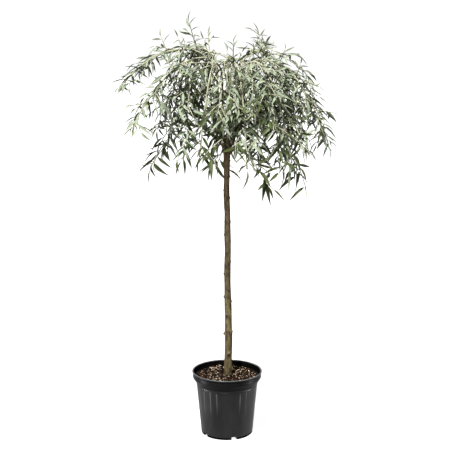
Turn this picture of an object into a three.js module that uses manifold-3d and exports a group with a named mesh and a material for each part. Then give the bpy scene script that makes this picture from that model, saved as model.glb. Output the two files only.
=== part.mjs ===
// A young weeping pear, grafted at the top of a straight stem, in a ribbed black nursery pot.
// Millimetres, +Z up. The origin is the middle of the pot's underside, +X is to the viewer's right
// and -Y points to the viewer.
import * as THREE from "three";
import { mergeVertices } from "three/addons/utils/BufferGeometryUtils.js";
import Module from "manifold-3d";

const wasm = await Module();
wasm.setup();

// The clear gap between neighbouring pieces, and the wider one where a bough is cut to the trunk.
const GAP = 0.3;
const CUT_GAP = 0.4;

// The pot: a tapered tub with a rim band, a smooth collar under it, and ribs that fade out downwards.
const POT_HEIGHT = 245;
const POT_FACETS = 36;
const POT_WALL = 2.2;
const RIM_RADIUS = 133.5;
const RIM_BAND = 24;
const RIM_LIP = 3;
const BAND_SHOULDER = 22;
const BAND_FOOT = POT_HEIGHT - RIM_BAND;
const COLLAR_TOP = BAND_FOOT - BAND_SHOULDER;
const COLLAR_RADIUS = 118.5;
const BASE_RADIUS = 98.5;
const BASE_EDGE = 3;
const FLOOR_HEIGHT = 14;
const RIB_TOP = 190;
const RIB_FOOT = 90;
const RIB_COUNT = 12;
const RIB_DEPTH = 3;
const RIB_HALF_WIDTH = 0.3;
const FRONT = THREE.MathUtils.degToRad(-90);
const PLAIN_PANEL = FRONT + THREE.MathUtils.degToRad(3);

// Drainage channels that run in under the pot from its edge.
const CHANNEL_COUNT = 5;
const CHANNEL_WIDTH = 23;
const CHANNEL_HEIGHT = 12;
const CHANNEL_INNER_END = 45;
const FIRST_CHANNEL = FRONT + THREE.MathUtils.degToRad(16);

// The potting mix, dished a little towards the wall, with a flat patch round the trunk.
const MIX_HEIGHT = 225;
const MIX_FACETS = 20;
const MIX_EDGE_DROP = 4;
const MIX_ROUGHNESS = 2.5;
const MIX_RINGS = [88, 57];
const TRUNK_PATCH_RADIUS = 26;

// The trunk, from its flat cut on the potting mix to the swollen graft that the boughs grow from.
const TRUNK_FOOT = MIX_HEIGHT + GAP;
const TRUNK_TOP = 1132;
const TRUNK_SIDES = 9;
const TRUNK_STEPS = 17;
const TRUNK_FOOT_RADIUS = 14.5;
const TRUNK_TOP_RADIUS = 10;
const TRUNK_TAPER = 2;
const TRUNK_ROUND_END = 8;
const TRUNK_END_SHARE = 0.2;
const ROOT_FLARE = 1.2;
const ROOT_FLARE_HEIGHT = 22;
const GRAFT_HEIGHT = 1095;
const GRAFT_SWELLING = 3;
const GRAFT_LENGTH = 34;
const TRUNK_FOOT_X = 4;
const TRUNK_LEAN = -6;
const TRUNK_SWAY = 2.5;
const TRUNK_BENDS = { x: 2.5, y: 1.5 };

// The boughs leave the graft in tiers, climb side by side and end where their foliage begins.
const BOUGH_SIDES = 5;
const BOUGH_STEPS = 6;
const BOUGH_ROOT_RADIUS = 4.8;
const BOUGH_TIP_RADIUS = 3.5;
const BOUGH_ROOT_DEPTH = 5;
const TIER_COUNT = 3;
const LOWEST_TIER = 1074;
const TIER_SPACING = 21;
const BOUGH_ELBOW = { out: 0.75, rise: 28, climb: 0.45 };
const BOUGH_CLIMB = 70;
const BOUGH_TIP_SHARE = 0.4;
const STRAIGHT_END = 8;

// Each bough's heading, in degrees round from +X, the crest of its arch and its hanging end, as
// distances from the trunk and heights, the share of a twig's full length that its twigs grow to,
// and the lengths of the upright shoots on its crest.
const BOUGHS = [
  { side: "right", heading: -8, crest: [150, 1415], end: [355, 1160], twigs: 0.85, shoots: [48] },
  { side: "back_right", heading: 45, crest: [185, 1450], end: [330, 1120], twigs: 1, shoots: [42, 54] },
  { side: "back", heading: 90, crest: [100, 1430], end: [255, 1075], twigs: 1, shoots: [] },
  { side: "back_left", heading: 147, crest: [110, 1455], end: [285, 1075], twigs: 1, shoots: [42] },
  { side: "left", heading: 183, crest: [155, 1455], end: [375, 1335], twigs: 0.35, shoots: [90] },
  { side: "front_left", heading: 205, crest: [95, 1425], end: [360, 1190], twigs: 0.4, shoots: [54] },
  { side: "front", heading: 248, crest: [110, 1405], end: [230, 1085], twigs: 0.95, shoots: [] },
  { side: "front_right", heading: 288, crest: [95, 1405], end: [250, 1045], twigs: 0.85, shoots: [54] },
  { side: "right_front", heading: 323, crest: [125, 1410], end: [290, 1060], twigs: 1.1, shoots: [54] },
];

// A foliage mass: a stem that goes on over the arch, side twigs that hang from it, and leaves.
const FOLIAGE_SEED = 7960;
const STEM_SIDES = 4;
const STEM_RISE_STEPS = 3;
const STEM_FALL_STEPS = 6;
const STEM_FALL_PACE = 0.8;
const STEM_END_RADIUS = 1.6;
const STEM_SWAY = 25;
const STEM_LEAFY_POINTS = 4;
const TWIG_SIDES = 3;
const TWIG_COUNT = 9;
const TWIG_SPAN = [0.1, 0.95];
const TWIG_SPREAD = [0.6, 1.3];
const TWIG_LIFT = 0.3;
const TWIG_ROOT_RADIUS = 2.1;
const TWIG_TIP_RADIUS = 1.4;
const TWIG_STEP = 45;
const TWIG_LENGTH = [310, 140];
const TWIG_DROOP = 0.22;
const HANGING_SLANT = 0.45;
const SHOOT_PLACE = 0.3;
const SHOOT_SPACING = 0.1;
const SHOOT_LEAN = 0.3;
const LEAF_SPACING = 35;
const LEAF_TRIES = 4;
const LEAF_LENGTH = [62, 82];
const LEAF_SHAPE = { width: 0.3, sunk: 0.6, rib: 0.6, fold: 0.03, bow: 0.06, widest: 0.42, stalk: 0.2 };
const LEAF_TURN = THREE.MathUtils.degToRad(137.5);
const LEAF_TURN_CHANCE = 0.6;
const LEAF_LEAN = 1.2;
const END_LEAF_LEAN = 0.3;
const LEAF_SAG = 0.3;
const LEAF_FACING = { up: 0.7, away: 0.5 };
const LEAF_ROOM = 10;
const SPACE_MARGIN = 1.2;
const RUN_TEST_STEP = 10;
const LIMB_CLEARANCE = 4;

// The middle mass: a shoot that stands on the graft between the boughs, with a ring of short twigs.
const MIDDLE_STEM_TOP = 1390;
const MIDDLE_STEPS = 6;
const MIDDLE_TWIGS = 5;
const MIDDLE_TWIG_LENGTH = 40;
const MIDDLE_LEAF_LEAN = 0.35;
const MIDDLE_SPACE = { radius: 24, mouth: 1385, widening: 0.6, top: 1455 };

const UP = new THREE.Vector3(0, 0, 1);
const NEARLY_PARALLEL = 0.9;

// Colours and finishes of the four materials.
const blackPlastic = new THREE.MeshStandardMaterial({ color: 0x2b2c2e, roughness: 0.45, metalness: 0 });
const barkMulch = new THREE.MeshStandardMaterial({ color: 0x4a3021, roughness: 0.95, metalness: 0 });
const oliveBark = new THREE.MeshStandardMaterial({ color: 0x6b5f40, roughness: 0.85, metalness: 0 });
const silverLeaf = new THREE.MeshStandardMaterial({ color: 0x93a08a, roughness: 0.75, metalness: 0 });

// A source of numbers from 0 to 1 that is the same on every run.
function seededRandom(seed) {
  const MULTIPLIER = 16807;
  const MODULUS = 2147483647;
  let state = (seed * MULTIPLIER) % MODULUS;
  return () => {
    state = (state * MULTIPLIER) % MODULUS;
    return state / MODULUS;
  };
}

// A closed geometry as a solid that can be joined and cut.
function solidOf(geometry) {
  const bare = new THREE.BufferGeometry();
  bare.setAttribute("position", geometry.getAttribute("position"));
  bare.setIndex(geometry.index);
  const merged = mergeVertices(bare, 1e-4);
  return new wasm.Manifold(
    new wasm.Mesh({
      numProp: 3,
      vertProperties: merged.getAttribute("position").array,
      triVerts: new Uint32Array(merged.index.array),
    }),
  );
}

function geometryOf(solid) {
  const { vertProperties, triVerts } = solid.getMesh();
  const geometry = new THREE.BufferGeometry();
  geometry.setAttribute("position", new THREE.BufferAttribute(vertProperties, 3));
  geometry.setIndex(new THREE.BufferAttribute(triVerts, 1));
  geometry.computeVertexNormals();
  return geometry;
}

function geometryFrom(positions, triangles) {
  const geometry = new THREE.BufferGeometry();
  const coordinates = positions.flatMap((position) => position.toArray());
  geometry.setAttribute("position", new THREE.Float32BufferAttribute(coordinates, 3));
  geometry.setIndex(triangles.flat());
  return geometry;
}

function namedMesh(name, geometry, material) {
  const mesh = new THREE.Mesh(geometry, material);
  mesh.name = name;
  return mesh;
}

// A profile of [radius, height] pairs turned about Z.
function turned(profile, facets) {
  const points = profile.map(([radius, height]) => new THREE.Vector2(radius, height));
  return new THREE.LatheGeometry(points, facets).rotateX(Math.PI / 2);
}

// A closed tapering limb through the points, with one radius for each.
function taperedLimb(points, radii, sides) {
  const positions = [];
  const triangles = [];
  let across = new THREE.Vector3(1, 0, 0);
  points.forEach((point, i) => {
    const before = points[Math.max(i - 1, 0)];
    const after = points[Math.min(i + 1, points.length - 1)];
    const along = after.clone().sub(before).normalize();
    if (Math.abs(across.dot(along)) > NEARLY_PARALLEL) across = new THREE.Vector3(0, 1, 0);
    across = across.clone().addScaledVector(along, -across.dot(along)).normalize();
    const third = along.clone().cross(across);
    for (let s = 0; s < sides; s++) {
      const turn = (2 * Math.PI * s) / sides;
      const corner = point.clone().addScaledVector(across, radii[i] * Math.cos(turn));
      positions.push(corner.addScaledVector(third, radii[i] * Math.sin(turn)));
    }
  });
  for (let i = 0; i + 1 < points.length; i++) {
    for (let s = 0; s < sides; s++) {
      const a = i * sides + s;
      const b = i * sides + ((s + 1) % sides);
      triangles.push([a, b, b + sides], [a, b + sides, a + sides]);
    }
  }
  const end = (points.length - 1) * sides;
  for (let s = 1; s + 1 < sides; s++) {
    triangles.push([0, s + 1, s], [end, end + s, end + s + 1]);
  }
  return geometryFrom(positions, triangles);
}

// Radii that run evenly from one end of a limb to the other.
function taper(count, from, to) {
  return Array.from({ length: count }, (_, i) => THREE.MathUtils.lerp(from, to, i / (count - 1)));
}

// The radius of the pot's outer wall, without its ribs, at a height.
function potWall(height) {
  return THREE.MathUtils.mapLinear(height, 0, BAND_FOOT, BASE_RADIUS, COLLAR_RADIUS);
}

// The radius of the pot's inner wall: clear of the pressed panels, and wider from the collar up.
function potInside(height) {
  if (height > COLLAR_TOP) {
    const bandInside = RIM_RADIUS - RIM_LIP - POT_WALL;
    return THREE.MathUtils.mapLinear(height, COLLAR_TOP, BAND_FOOT, potInside(COLLAR_TOP), bandInside);
  }
  const fade = THREE.MathUtils.clamp((height - RIB_TOP) / (COLLAR_TOP - RIB_TOP), 0, 1);
  const pressed = RIB_DEPTH * (1 - fade);
  return potWall(height) - pressed - POT_WALL;
}

// How deep the wall is pressed in between the ribs, at a height and a turn about the axis.
function ribRecess(height, turn) {
  if (height < RIB_FOOT || height > RIB_TOP) return 0;
  const pitch = (2 * Math.PI) / RIB_COUNT;
  const fromPanel = Math.atan2(Math.sin(turn - PLAIN_PANEL), Math.cos(turn - PLAIN_PANEL));
  const fromRib = Math.abs(fromPanel - pitch * Math.round(fromPanel / pitch));
  const onRib = fromRib < RIB_HALF_WIDTH * pitch && Math.abs(fromPanel) > 0.5 * pitch;
  if (onRib) return 0;
  return (RIB_DEPTH * (height - RIB_FOOT)) / (RIB_TOP - RIB_FOOT);
}

function makePot() {
  const bandRadius = RIM_RADIUS - RIM_LIP;
  const ribRings = [RIB_FOOT, (RIB_FOOT + RIB_TOP) / 2, RIB_TOP, RIB_TOP + 2];
  const geometry = turned(
    [
      [0, 0],
      [BASE_RADIUS - BASE_EDGE, 0],
      [BASE_RADIUS, BASE_EDGE],
      ...ribRings.map((height) => [potWall(height), height]),
      [potWall(COLLAR_TOP), COLLAR_TOP],
      [bandRadius, BAND_FOOT],
      [bandRadius, POT_HEIGHT - 2 * RIM_LIP],
      [RIM_RADIUS, POT_HEIGHT - RIM_LIP],
      [RIM_RADIUS - RIM_LIP / 3, POT_HEIGHT],
      [bandRadius - POT_WALL, POT_HEIGHT],
      [potInside(BAND_FOOT), BAND_FOOT],
      [potInside(COLLAR_TOP), COLLAR_TOP],
      [potInside(RIB_TOP), RIB_TOP],
      [potInside(FLOOR_HEIGHT), FLOOR_HEIGHT],
      [0, FLOOR_HEIGHT],
    ],
    POT_FACETS,
  );
  geometry.rotateZ(PLAIN_PANEL);
  const position = geometry.getAttribute("position");
  for (let i = 0; i < position.count; i++) {
    const radius = Math.hypot(position.getX(i), position.getY(i));
    const height = position.getZ(i);
    const outside = radius > potWall(height) - POT_WALL / 2;
    if (!outside) continue;
    const turn = Math.atan2(position.getY(i), position.getX(i));
    const pressed = 1 - ribRecess(height, turn) / radius;
    position.setXY(i, position.getX(i) * pressed, position.getY(i) * pressed);
  }
  let pot = solidOf(geometry);
  for (let k = 0; k < CHANNEL_COUNT; k++) {
    const length = 2 * (BASE_RADIUS - CHANNEL_INNER_END);
    const channel = new THREE.BoxGeometry(length, CHANNEL_WIDTH, 2 * CHANNEL_HEIGHT);
    channel.translate(CHANNEL_INNER_END + length / 2, 0, 0);
    channel.rotateZ(FIRST_CHANNEL + (2 * Math.PI * k) / CHANNEL_COUNT);
    pot = pot.subtract(solidOf(channel));
  }
  return namedMesh("pot", geometryOf(pot), blackPlastic);
}

// The potting mix fills the pot, with an uneven top of bark.
function makePottingMix() {
  const random = seededRandom(FOLIAGE_SEED);
  const insideAt = (height) => potInside(height) * Math.cos(Math.PI / POT_FACETS) - 2 * GAP;
  const edge = MIX_HEIGHT - MIX_EDGE_DROP;
  const sideHeights = [FLOOR_HEIGHT + GAP, RIB_TOP, COLLAR_TOP, edge];
  const geometry = turned(
    [
      [0, FLOOR_HEIGHT + GAP],
      ...sideHeights.map((height) => [insideAt(height), height]),
      ...MIX_RINGS.map((radius) => [radius, MIX_HEIGHT]),
      [TRUNK_PATCH_RADIUS, MIX_HEIGHT],
      [0, MIX_HEIGHT],
    ],
    MIX_FACETS,
  );
  const position = geometry.getAttribute("position");
  const ringCount = position.count / (MIX_FACETS + 1);
  const firstRing = 1 + sideHeights.length;
  for (let facet = 0; facet < MIX_FACETS; facet++) {
    const columns = facet === 0 ? [0, MIX_FACETS] : [facet];
    MIX_RINGS.forEach((_, ring) => {
      const height = MIX_HEIGHT + MIX_ROUGHNESS * (2 * random() - 1);
      columns.forEach((column) => position.setZ(column * ringCount + firstRing + ring, height));
    });
  }
  return namedMesh("potting_mix", geometryOf(solidOf(geometry)), barkMulch);
}

// The trunk's centre line at a height: upright at the foot, with a slight lean and gentle bends.
function trunkAxis(height) {
  const share = (height - TRUNK_FOOT) / (TRUNK_TOP - TRUNK_FOOT);
  const lean = TRUNK_LEAN * THREE.MathUtils.smoothstep(share, 0, 1);
  const bendX = TRUNK_SWAY * Math.sin(TRUNK_BENDS.x * Math.PI * share) ** 2;
  const bendY = TRUNK_SWAY * Math.sin(TRUNK_BENDS.y * Math.PI * share) ** 2;
  return new THREE.Vector3(TRUNK_FOOT_X + lean + bendX, bendY, height);
}

// The trunk's radius: a taper that is strongest low down, a flare at the foot, a swelling at the
// graft, a rounded top.
function trunkRadius(height) {
  const share = (height - TRUNK_FOOT) / (TRUNK_TOP - TRUNK_FOOT);
  const flare = ROOT_FLARE * Math.exp(-(height - TRUNK_FOOT) / ROOT_FLARE_HEIGHT);
  const graft = GRAFT_SWELLING * Math.exp(-(((height - GRAFT_HEIGHT) / GRAFT_LENGTH) ** 2));
  const underTop = (TRUNK_TOP - height) / TRUNK_TOP_RADIUS + TRUNK_END_SHARE;
  const round = Math.sqrt(THREE.MathUtils.clamp(underTop, TRUNK_END_SHARE, 1));
  const wood = THREE.MathUtils.lerp(TRUNK_TOP_RADIUS, TRUNK_FOOT_RADIUS, (1 - share) ** TRUNK_TAPER);
  return (wood + flare + graft) * round;
}

// The trunk's solid, grown outwards all round by an allowance.
function trunkSolid(allowance) {
  const heights = taper(TRUNK_STEPS + 1, TRUNK_FOOT, TRUNK_TOP - TRUNK_ROUND_END);
  heights.splice(1, 0, TRUNK_FOOT + ROOT_FLARE_HEIGHT / 2, TRUNK_FOOT + ROOT_FLARE_HEIGHT);
  heights.push(TRUNK_TOP);
  const radii = heights.map((height) => trunkRadius(height) + allowance);
  return solidOf(taperedLimb(heights.map(trunkAxis), radii, TRUNK_SIDES));
}

// A point of a bough's own plane, at a distance from the graft's axis and a height.
function onHeading(bough, radius, height, sideways = 0) {
  const turn = THREE.MathUtils.degToRad(bough.heading);
  const graft = trunkAxis(GRAFT_HEIGHT);
  return new THREE.Vector3(
    graft.x + radius * Math.cos(turn) - sideways * Math.sin(turn),
    graft.y + radius * Math.sin(turn) + sideways * Math.cos(turn),
    height,
  );
}

// Where a bough ends and its foliage's stem begins: below the crest, pointing straight up.
function boughTip(bough) {
  return [BOUGH_TIP_SHARE * bough.crest[0], bough.crest[1] - BOUGH_CLIMB];
}

function boughPoints(bough, index) {
  const root = LOWEST_TIER + TIER_SPACING * (index % TIER_COUNT);
  const [tipRadius, tipHeight] = boughTip(bough);
  const curve = new THREE.CubicBezierCurve3(
    onHeading(bough, BOUGH_ROOT_DEPTH, root),
    onHeading(bough, BOUGH_ELBOW.out * tipRadius, root + BOUGH_ELBOW.rise),
    onHeading(bough, tipRadius, root + BOUGH_ELBOW.climb * (tipHeight - root)),
    onHeading(bough, tipRadius, tipHeight - STRAIGHT_END),
  );
  return [...curve.getPoints(BOUGH_STEPS), onHeading(bough, tipRadius, tipHeight)];
}

function makeBough(bough, points, trunkHole) {
  const radii = taper(points.length, BOUGH_ROOT_RADIUS, BOUGH_TIP_RADIUS);
  const limb = solidOf(taperedLimb(points, radii, BOUGH_SIDES)).subtract(trunkHole);
  return namedMesh(`bough_${bough.side}`, geometryOf(limb), oliveBark);
}

// The stem of a mass: straight up out of the bough, a quarter of an ellipse to the crest, then a
// falling parabola.
function stemPoints(bough, sway) {
  const [tipRadius, tipHeight] = boughTip(bough);
  const [crestRadius, crestHeight] = bough.crest;
  const [endRadius, endHeight] = bough.end;
  const foot = tipHeight + GAP + STRAIGHT_END;
  const points = [onHeading(bough, tipRadius, tipHeight + GAP)];
  for (let i = 0; i < STEM_RISE_STEPS; i++) {
    const turn = ((Math.PI / 2) * i) / STEM_RISE_STEPS;
    const radius = tipRadius + (crestRadius - tipRadius) * (1 - Math.cos(turn));
    points.push(onHeading(bough, radius, foot + (crestHeight - foot) * Math.sin(turn)));
  }
  for (let i = 0; i <= STEM_FALL_STEPS; i++) {
    const out = (i / STEM_FALL_STEPS) ** STEM_FALL_PACE;
    const radius = crestRadius + (endRadius - crestRadius) * out;
    const height = crestHeight - (crestHeight - endHeight) * out ** 2;
    points.push(onHeading(bough, radius, height, sway * out ** 2));
  }
  return points;
}

// The point and the direction at a share of the way along a line of points.
function alongPoints(points, share) {
  const place = share * (points.length - 1);
  const i = Math.min(Math.floor(place), points.length - 2);
  const point = points[i].clone().lerp(points[i + 1], place - i);
  return { point, heading: points[i + 1].clone().sub(points[i]).normalize() };
}

// The space of the middle mass: a column between the boughs that widens above their tips.
function inMiddle(point, room) {
  const graft = trunkAxis(GRAFT_HEIGHT);
  const widened = MIDDLE_SPACE.widening * Math.max(0, point.z - MIDDLE_SPACE.mouth);
  if (point.z > MIDDLE_SPACE.top - room) return false;
  return Math.hypot(point.x - graft.x, point.y - graft.y) < MIDDLE_SPACE.radius + widened - room;
}

// The space of a bough's mass: a wedge about the trunk, up to half way to each neighbour.
function wedgeOf(index) {
  const count = BOUGHS.length;
  const here = BOUGHS[index].heading;
  const next = BOUGHS[(index + 1) % count].heading + (index + 1 === count ? 360 : 0);
  const last = BOUGHS[(index + count - 1) % count].heading - (index === 0 ? 360 : 0);
  const low = THREE.MathUtils.degToRad((here + last) / 2);
  const high = THREE.MathUtils.degToRad((here + next) / 2);
  const apex = trunkAxis(GRAFT_HEIGHT);
  const insideLow = new THREE.Vector3(-Math.sin(low), Math.cos(low), 0);
  const insideHigh = new THREE.Vector3(Math.sin(high), -Math.cos(high), 0);
  return (point, room) => {
    const offset = point.clone().sub(apex);
    return offset.dot(insideLow) > room && offset.dot(insideHigh) > room && !inMiddle(point, -room);
  };
}

// True if a test holds all the way along a straight run.
function allAlong(from, to, test) {
  const parts = Math.ceil(from.distanceTo(to) / RUN_TEST_STEP);
  for (let i = 1; i <= parts; i++) {
    if (!test(from.clone().lerp(to, i / parts))) return false;
  }
  return true;
}

function distanceToLine(point, points) {
  const nearest = new THREE.Vector3();
  let least = Infinity;
  for (let i = 0; i + 1 < points.length; i++) {
    new THREE.Line3(points[i], points[i + 1]).closestPointToPoint(point, true, nearest);
    least = Math.min(least, nearest.distanceTo(point));
  }
  return least;
}

// Grows a twig step by step, each step drooping more. A step that would leave the space is turned
// to hang, and the twig stops where that does not fit either.
function growTwig(start, heading, length, droop, hanging, fits) {
  const points = [start.clone()];
  const steps = Math.max(1, Math.round(length / TWIG_STEP));
  const way = heading.clone().normalize();
  const stepOn = () => points.at(-1).clone().addScaledVector(way, length / steps);
  for (let i = 0; i < steps; i++) {
    if (!allAlong(points.at(-1), stepOn(), fits)) way.copy(hanging);
    if (!allAlong(points.at(-1), stepOn(), fits)) break;
    points.push(stepOn());
    way.addScaledVector(UP, -droop).normalize();
  }
  return points;
}

// The corners of a leaf: the root, sunk in its twig, one on each side, one on the midrib and the tip.
function leafCorners(root, heading, facing, length) {
  const along = heading.clone().normalize();
  const face = facing.clone().addScaledVector(along, -facing.dot(along)).normalize();
  const across = face.clone().cross(along);
  const corner = (forward, left, up) =>
    root.clone().addScaledVector(along, forward).addScaledVector(across, left).addScaledVector(face, up);
  const half = (LEAF_SHAPE.width * length) / 2;
  const fold = LEAF_SHAPE.fold * length;
  const widest = LEAF_SHAPE.widest * length;
  return [
    corner(-LEAF_SHAPE.sunk, 0, 0),
    corner(widest, half, fold),
    corner(widest, -half, fold),
    corner(widest, 0, LEAF_SHAPE.rib),
    corner(length, 0, -LEAF_SHAPE.bow * length),
  ];
}

const LEAF_FACES = [
  [0, 2, 3],
  [3, 2, 4],
  [0, 3, 1],
  [3, 4, 1],
  [0, 4, 2],
  [0, 1, 4],
];

// The leaves of one twig, set spirally, leaning away from it and hanging a little. A leaf that would
// leave the space or cross another line of the mass is turned a few times, then left out.
function leavesOn(points, lean, outward, random, fits, lines) {
  const leaves = [];
  const reach = points[0].distanceTo(points[1]) * (points.length - 1);
  const count = Math.round(reach / LEAF_SPACING) + 1;
  const free = (spot) => fits(spot) && lines.every((line) => distanceToLine(spot, line) > LEAF_ROOM);
  for (let k = 1; k <= count; k++) {
    const { point, heading } = alongPoints(points, k / count);
    const across = heading.clone().cross(Math.abs(heading.z) > NEARLY_PARALLEL ? outward : UP).normalize();
    const third = heading.clone().cross(across);
    const leafLean = k === count ? END_LEAF_LEAN : lean;
    const length = THREE.MathUtils.lerp(...LEAF_LENGTH, random());
    for (let attempt = 0; attempt < LEAF_TRIES; attempt++) {
      const turn = LEAF_TURN * (k + attempt) + LEAF_TURN_CHANCE * random();
      const away = across.clone().multiplyScalar(Math.cos(turn)).addScaledVector(third, Math.sin(turn));
      const way = heading.clone().addScaledVector(away, leafLean).addScaledVector(UP, -LEAF_SAG);
      const facing = outward.clone().addScaledVector(UP, LEAF_FACING.up);
      facing.addScaledVector(away, LEAF_FACING.away);
      const corners = leafCorners(point, way, facing, length);
      const [root, left, right, rib, tip] = corners;
      const inside = [left, right].every((edge) => allAlong(root, edge, fits) && allAlong(edge, tip, fits));
      const stalkEnd = root.clone().lerp(tip, LEAF_SHAPE.stalk);
      if (!inside || !allAlong(stalkEnd, rib, free) || !allAlong(rib, tip, free)) continue;
      leaves.push(geometryFrom(corners, LEAF_FACES));
      lines.push([stalkEnd, rib, tip]);
      break;
    }
  }
  return leaves;
}

// The stem, twigs and leaves of one mass joined into a single solid, without loose scraps.
function makeFoliage(name, { stem, twigs, leafyStem, lean, outward, random, fits }) {
  const grown = twigs.filter((points) => points.length > 1);
  const lines = [stem, ...grown];
  const pieces = [taperedLimb(stem, taper(stem.length, BOUGH_TIP_RADIUS, STEM_END_RADIUS), STEM_SIDES)];
  for (const points of grown) {
    pieces.push(taperedLimb(points, taper(points.length, TWIG_ROOT_RADIUS, TWIG_TIP_RADIUS), TWIG_SIDES));
  }
  for (const points of [leafyStem, ...grown]) {
    pieces.push(...leavesOn(points, lean, outward, random, fits, lines));
  }
  const joined = wasm.Manifold.union(pieces.map(solidOf));
  const [body] = joined.decompose().sort((a, b) => b.volume() - a.volume());
  return namedMesh(name, geometryOf(body), silverLeaf);
}

// True where a point keeps clear of the trunk and the boughs.
function clearOf(limbLines) {
  return (point) =>
    limbLines.every(([points, radius]) => distanceToLine(point, points) > radius + LIMB_CLEARANCE);
}

// The weeping mass of one bough.
function makeBoughFoliage(bough, index, limbLines) {
  const random = seededRandom(FOLIAGE_SEED * (index + 1));
  const inWedge = wedgeOf(index);
  const clear = clearOf(limbLines);
  const fits = (point) => inWedge(point, SPACE_MARGIN) && clear(point);
  const stem = stemPoints(bough, STEM_SWAY * (2 * random() - 1));
  const outward = onHeading(bough, 1, 0).sub(onHeading(bough, 0, 0));
  const sideways = UP.clone().cross(outward);
  const hanging = outward.clone().multiplyScalar(HANGING_SLANT).sub(UP).normalize();
  const twigs = [];
  for (let k = 0; k < TWIG_COUNT; k++) {
    const share = THREE.MathUtils.lerp(...TWIG_SPAN, k / (TWIG_COUNT - 1));
    const { point, heading } = alongPoints(stem, share);
    const spread = THREE.MathUtils.lerp(...TWIG_SPREAD, random());
    const way = heading.clone().addScaledVector(sideways, k % 2 === 0 ? spread : -spread);
    way.addScaledVector(UP, TWIG_LIFT * (1 - share));
    const length = bough.twigs * THREE.MathUtils.lerp(...TWIG_LENGTH, share);
    twigs.push(growTwig(point, way, length, TWIG_DROOP, hanging, fits));
  }
  bough.shoots.forEach((length, k) => {
    const { point, heading } = alongPoints(stem, SHOOT_PLACE + SHOOT_SPACING * k);
    const way = UP.clone().addScaledVector(heading, SHOOT_LEAN).addScaledVector(sideways, random() - 0.5);
    twigs.push(growTwig(point, way, length, 0, hanging, fits));
  });
  const leafyStem = stem.slice(-STEM_LEAFY_POINTS);
  const lean = LEAF_LEAN;
  return makeFoliage(`foliage_${bough.side}`, { stem, twigs, leafyStem, lean, outward, random, fits });
}

// The mass in the middle, on the graft itself.
function makeMiddleFoliage(limbLines) {
  const random = seededRandom(FOLIAGE_SEED * (BOUGHS.length + 1));
  const clear = clearOf(limbLines);
  const fits = (point) => inMiddle(point, SPACE_MARGIN) && clear(point);
  const foot = trunkAxis(TRUNK_TOP);
  const stem = taper(MIDDLE_STEPS + 1, TRUNK_TOP + GAP, MIDDLE_STEM_TOP).map(
    (height) => new THREE.Vector3(foot.x, foot.y, height),
  );
  const outward = new THREE.Vector3(Math.cos(FRONT), Math.sin(FRONT), 0);
  const twigs = [];
  for (let k = 0; k < MIDDLE_TWIGS; k++) {
    const way = outward.clone().applyAxisAngle(UP, (2 * Math.PI * (k + random())) / MIDDLE_TWIGS).add(UP);
    twigs.push(growTwig(stem.at(-1), way, MIDDLE_TWIG_LENGTH, 0, UP, fits));
  }
  const lean = MIDDLE_LEAF_LEAN;
  return makeFoliage("foliage_middle", { stem, twigs, leafyStem: stem, lean, outward, random, fits });
}

const tree = new THREE.Group();
const trunk = namedMesh("trunk", geometryOf(trunkSolid(0)), oliveBark);
const trunkHole = trunkSolid(CUT_GAP);
const trunkLine = [[TRUNK_FOOT, GRAFT_HEIGHT].map(trunkAxis), TRUNK_TOP_RADIUS + GRAFT_SWELLING];
const boughLines = BOUGHS.map((bough, index) => [boughPoints(bough, index), BOUGH_ROOT_RADIUS]);
tree.add(makePot(), makePottingMix(), trunk, makeMiddleFoliage(boughLines));
BOUGHS.forEach((bough, index) => {
  tree.add(makeBough(bough, boughLines[index][0], trunkHole));
  tree.add(makeBoughFoliage(bough, index, [boughLines[index], trunkLine]));
});

export default tree;
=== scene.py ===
import math
from collections import namedtuple

import bpy
import numpy as np
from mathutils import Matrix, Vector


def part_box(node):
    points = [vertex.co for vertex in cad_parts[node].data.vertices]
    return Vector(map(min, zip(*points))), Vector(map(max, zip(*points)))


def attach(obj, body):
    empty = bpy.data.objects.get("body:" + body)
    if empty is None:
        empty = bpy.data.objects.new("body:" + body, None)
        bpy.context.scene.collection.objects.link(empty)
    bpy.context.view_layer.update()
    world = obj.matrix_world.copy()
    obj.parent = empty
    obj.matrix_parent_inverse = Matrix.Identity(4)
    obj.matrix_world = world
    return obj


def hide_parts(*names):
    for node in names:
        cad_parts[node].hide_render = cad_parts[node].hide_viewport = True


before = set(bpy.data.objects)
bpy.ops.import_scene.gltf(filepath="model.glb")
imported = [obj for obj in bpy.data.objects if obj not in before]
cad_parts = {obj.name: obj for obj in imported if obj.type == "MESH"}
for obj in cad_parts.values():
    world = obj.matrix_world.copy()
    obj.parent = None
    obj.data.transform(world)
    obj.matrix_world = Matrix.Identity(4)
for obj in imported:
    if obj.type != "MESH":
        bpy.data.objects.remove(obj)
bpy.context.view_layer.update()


# The camera: a long lens at head height, a few paces off, on a level stand.
# It looks slightly down, so that the mulch shows inside the pot's rim.
CAMERA_PLACE = (0.0, -3.594, 1.435)
CAMERA_TILT = math.radians(80)
CAMERA_LENS = 77.5
CAMERA_SENSOR = 36

camera_data = bpy.data.cameras.new("camera")
camera_data.lens = CAMERA_LENS
camera_data.sensor_width = CAMERA_SENSOR
camera = bpy.data.objects.new("camera", camera_data)
camera.location = CAMERA_PLACE
camera.rotation_euler = (CAMERA_TILT, 0, 0)
bpy.context.scene.collection.objects.link(camera)
bpy.context.scene.camera = camera


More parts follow.
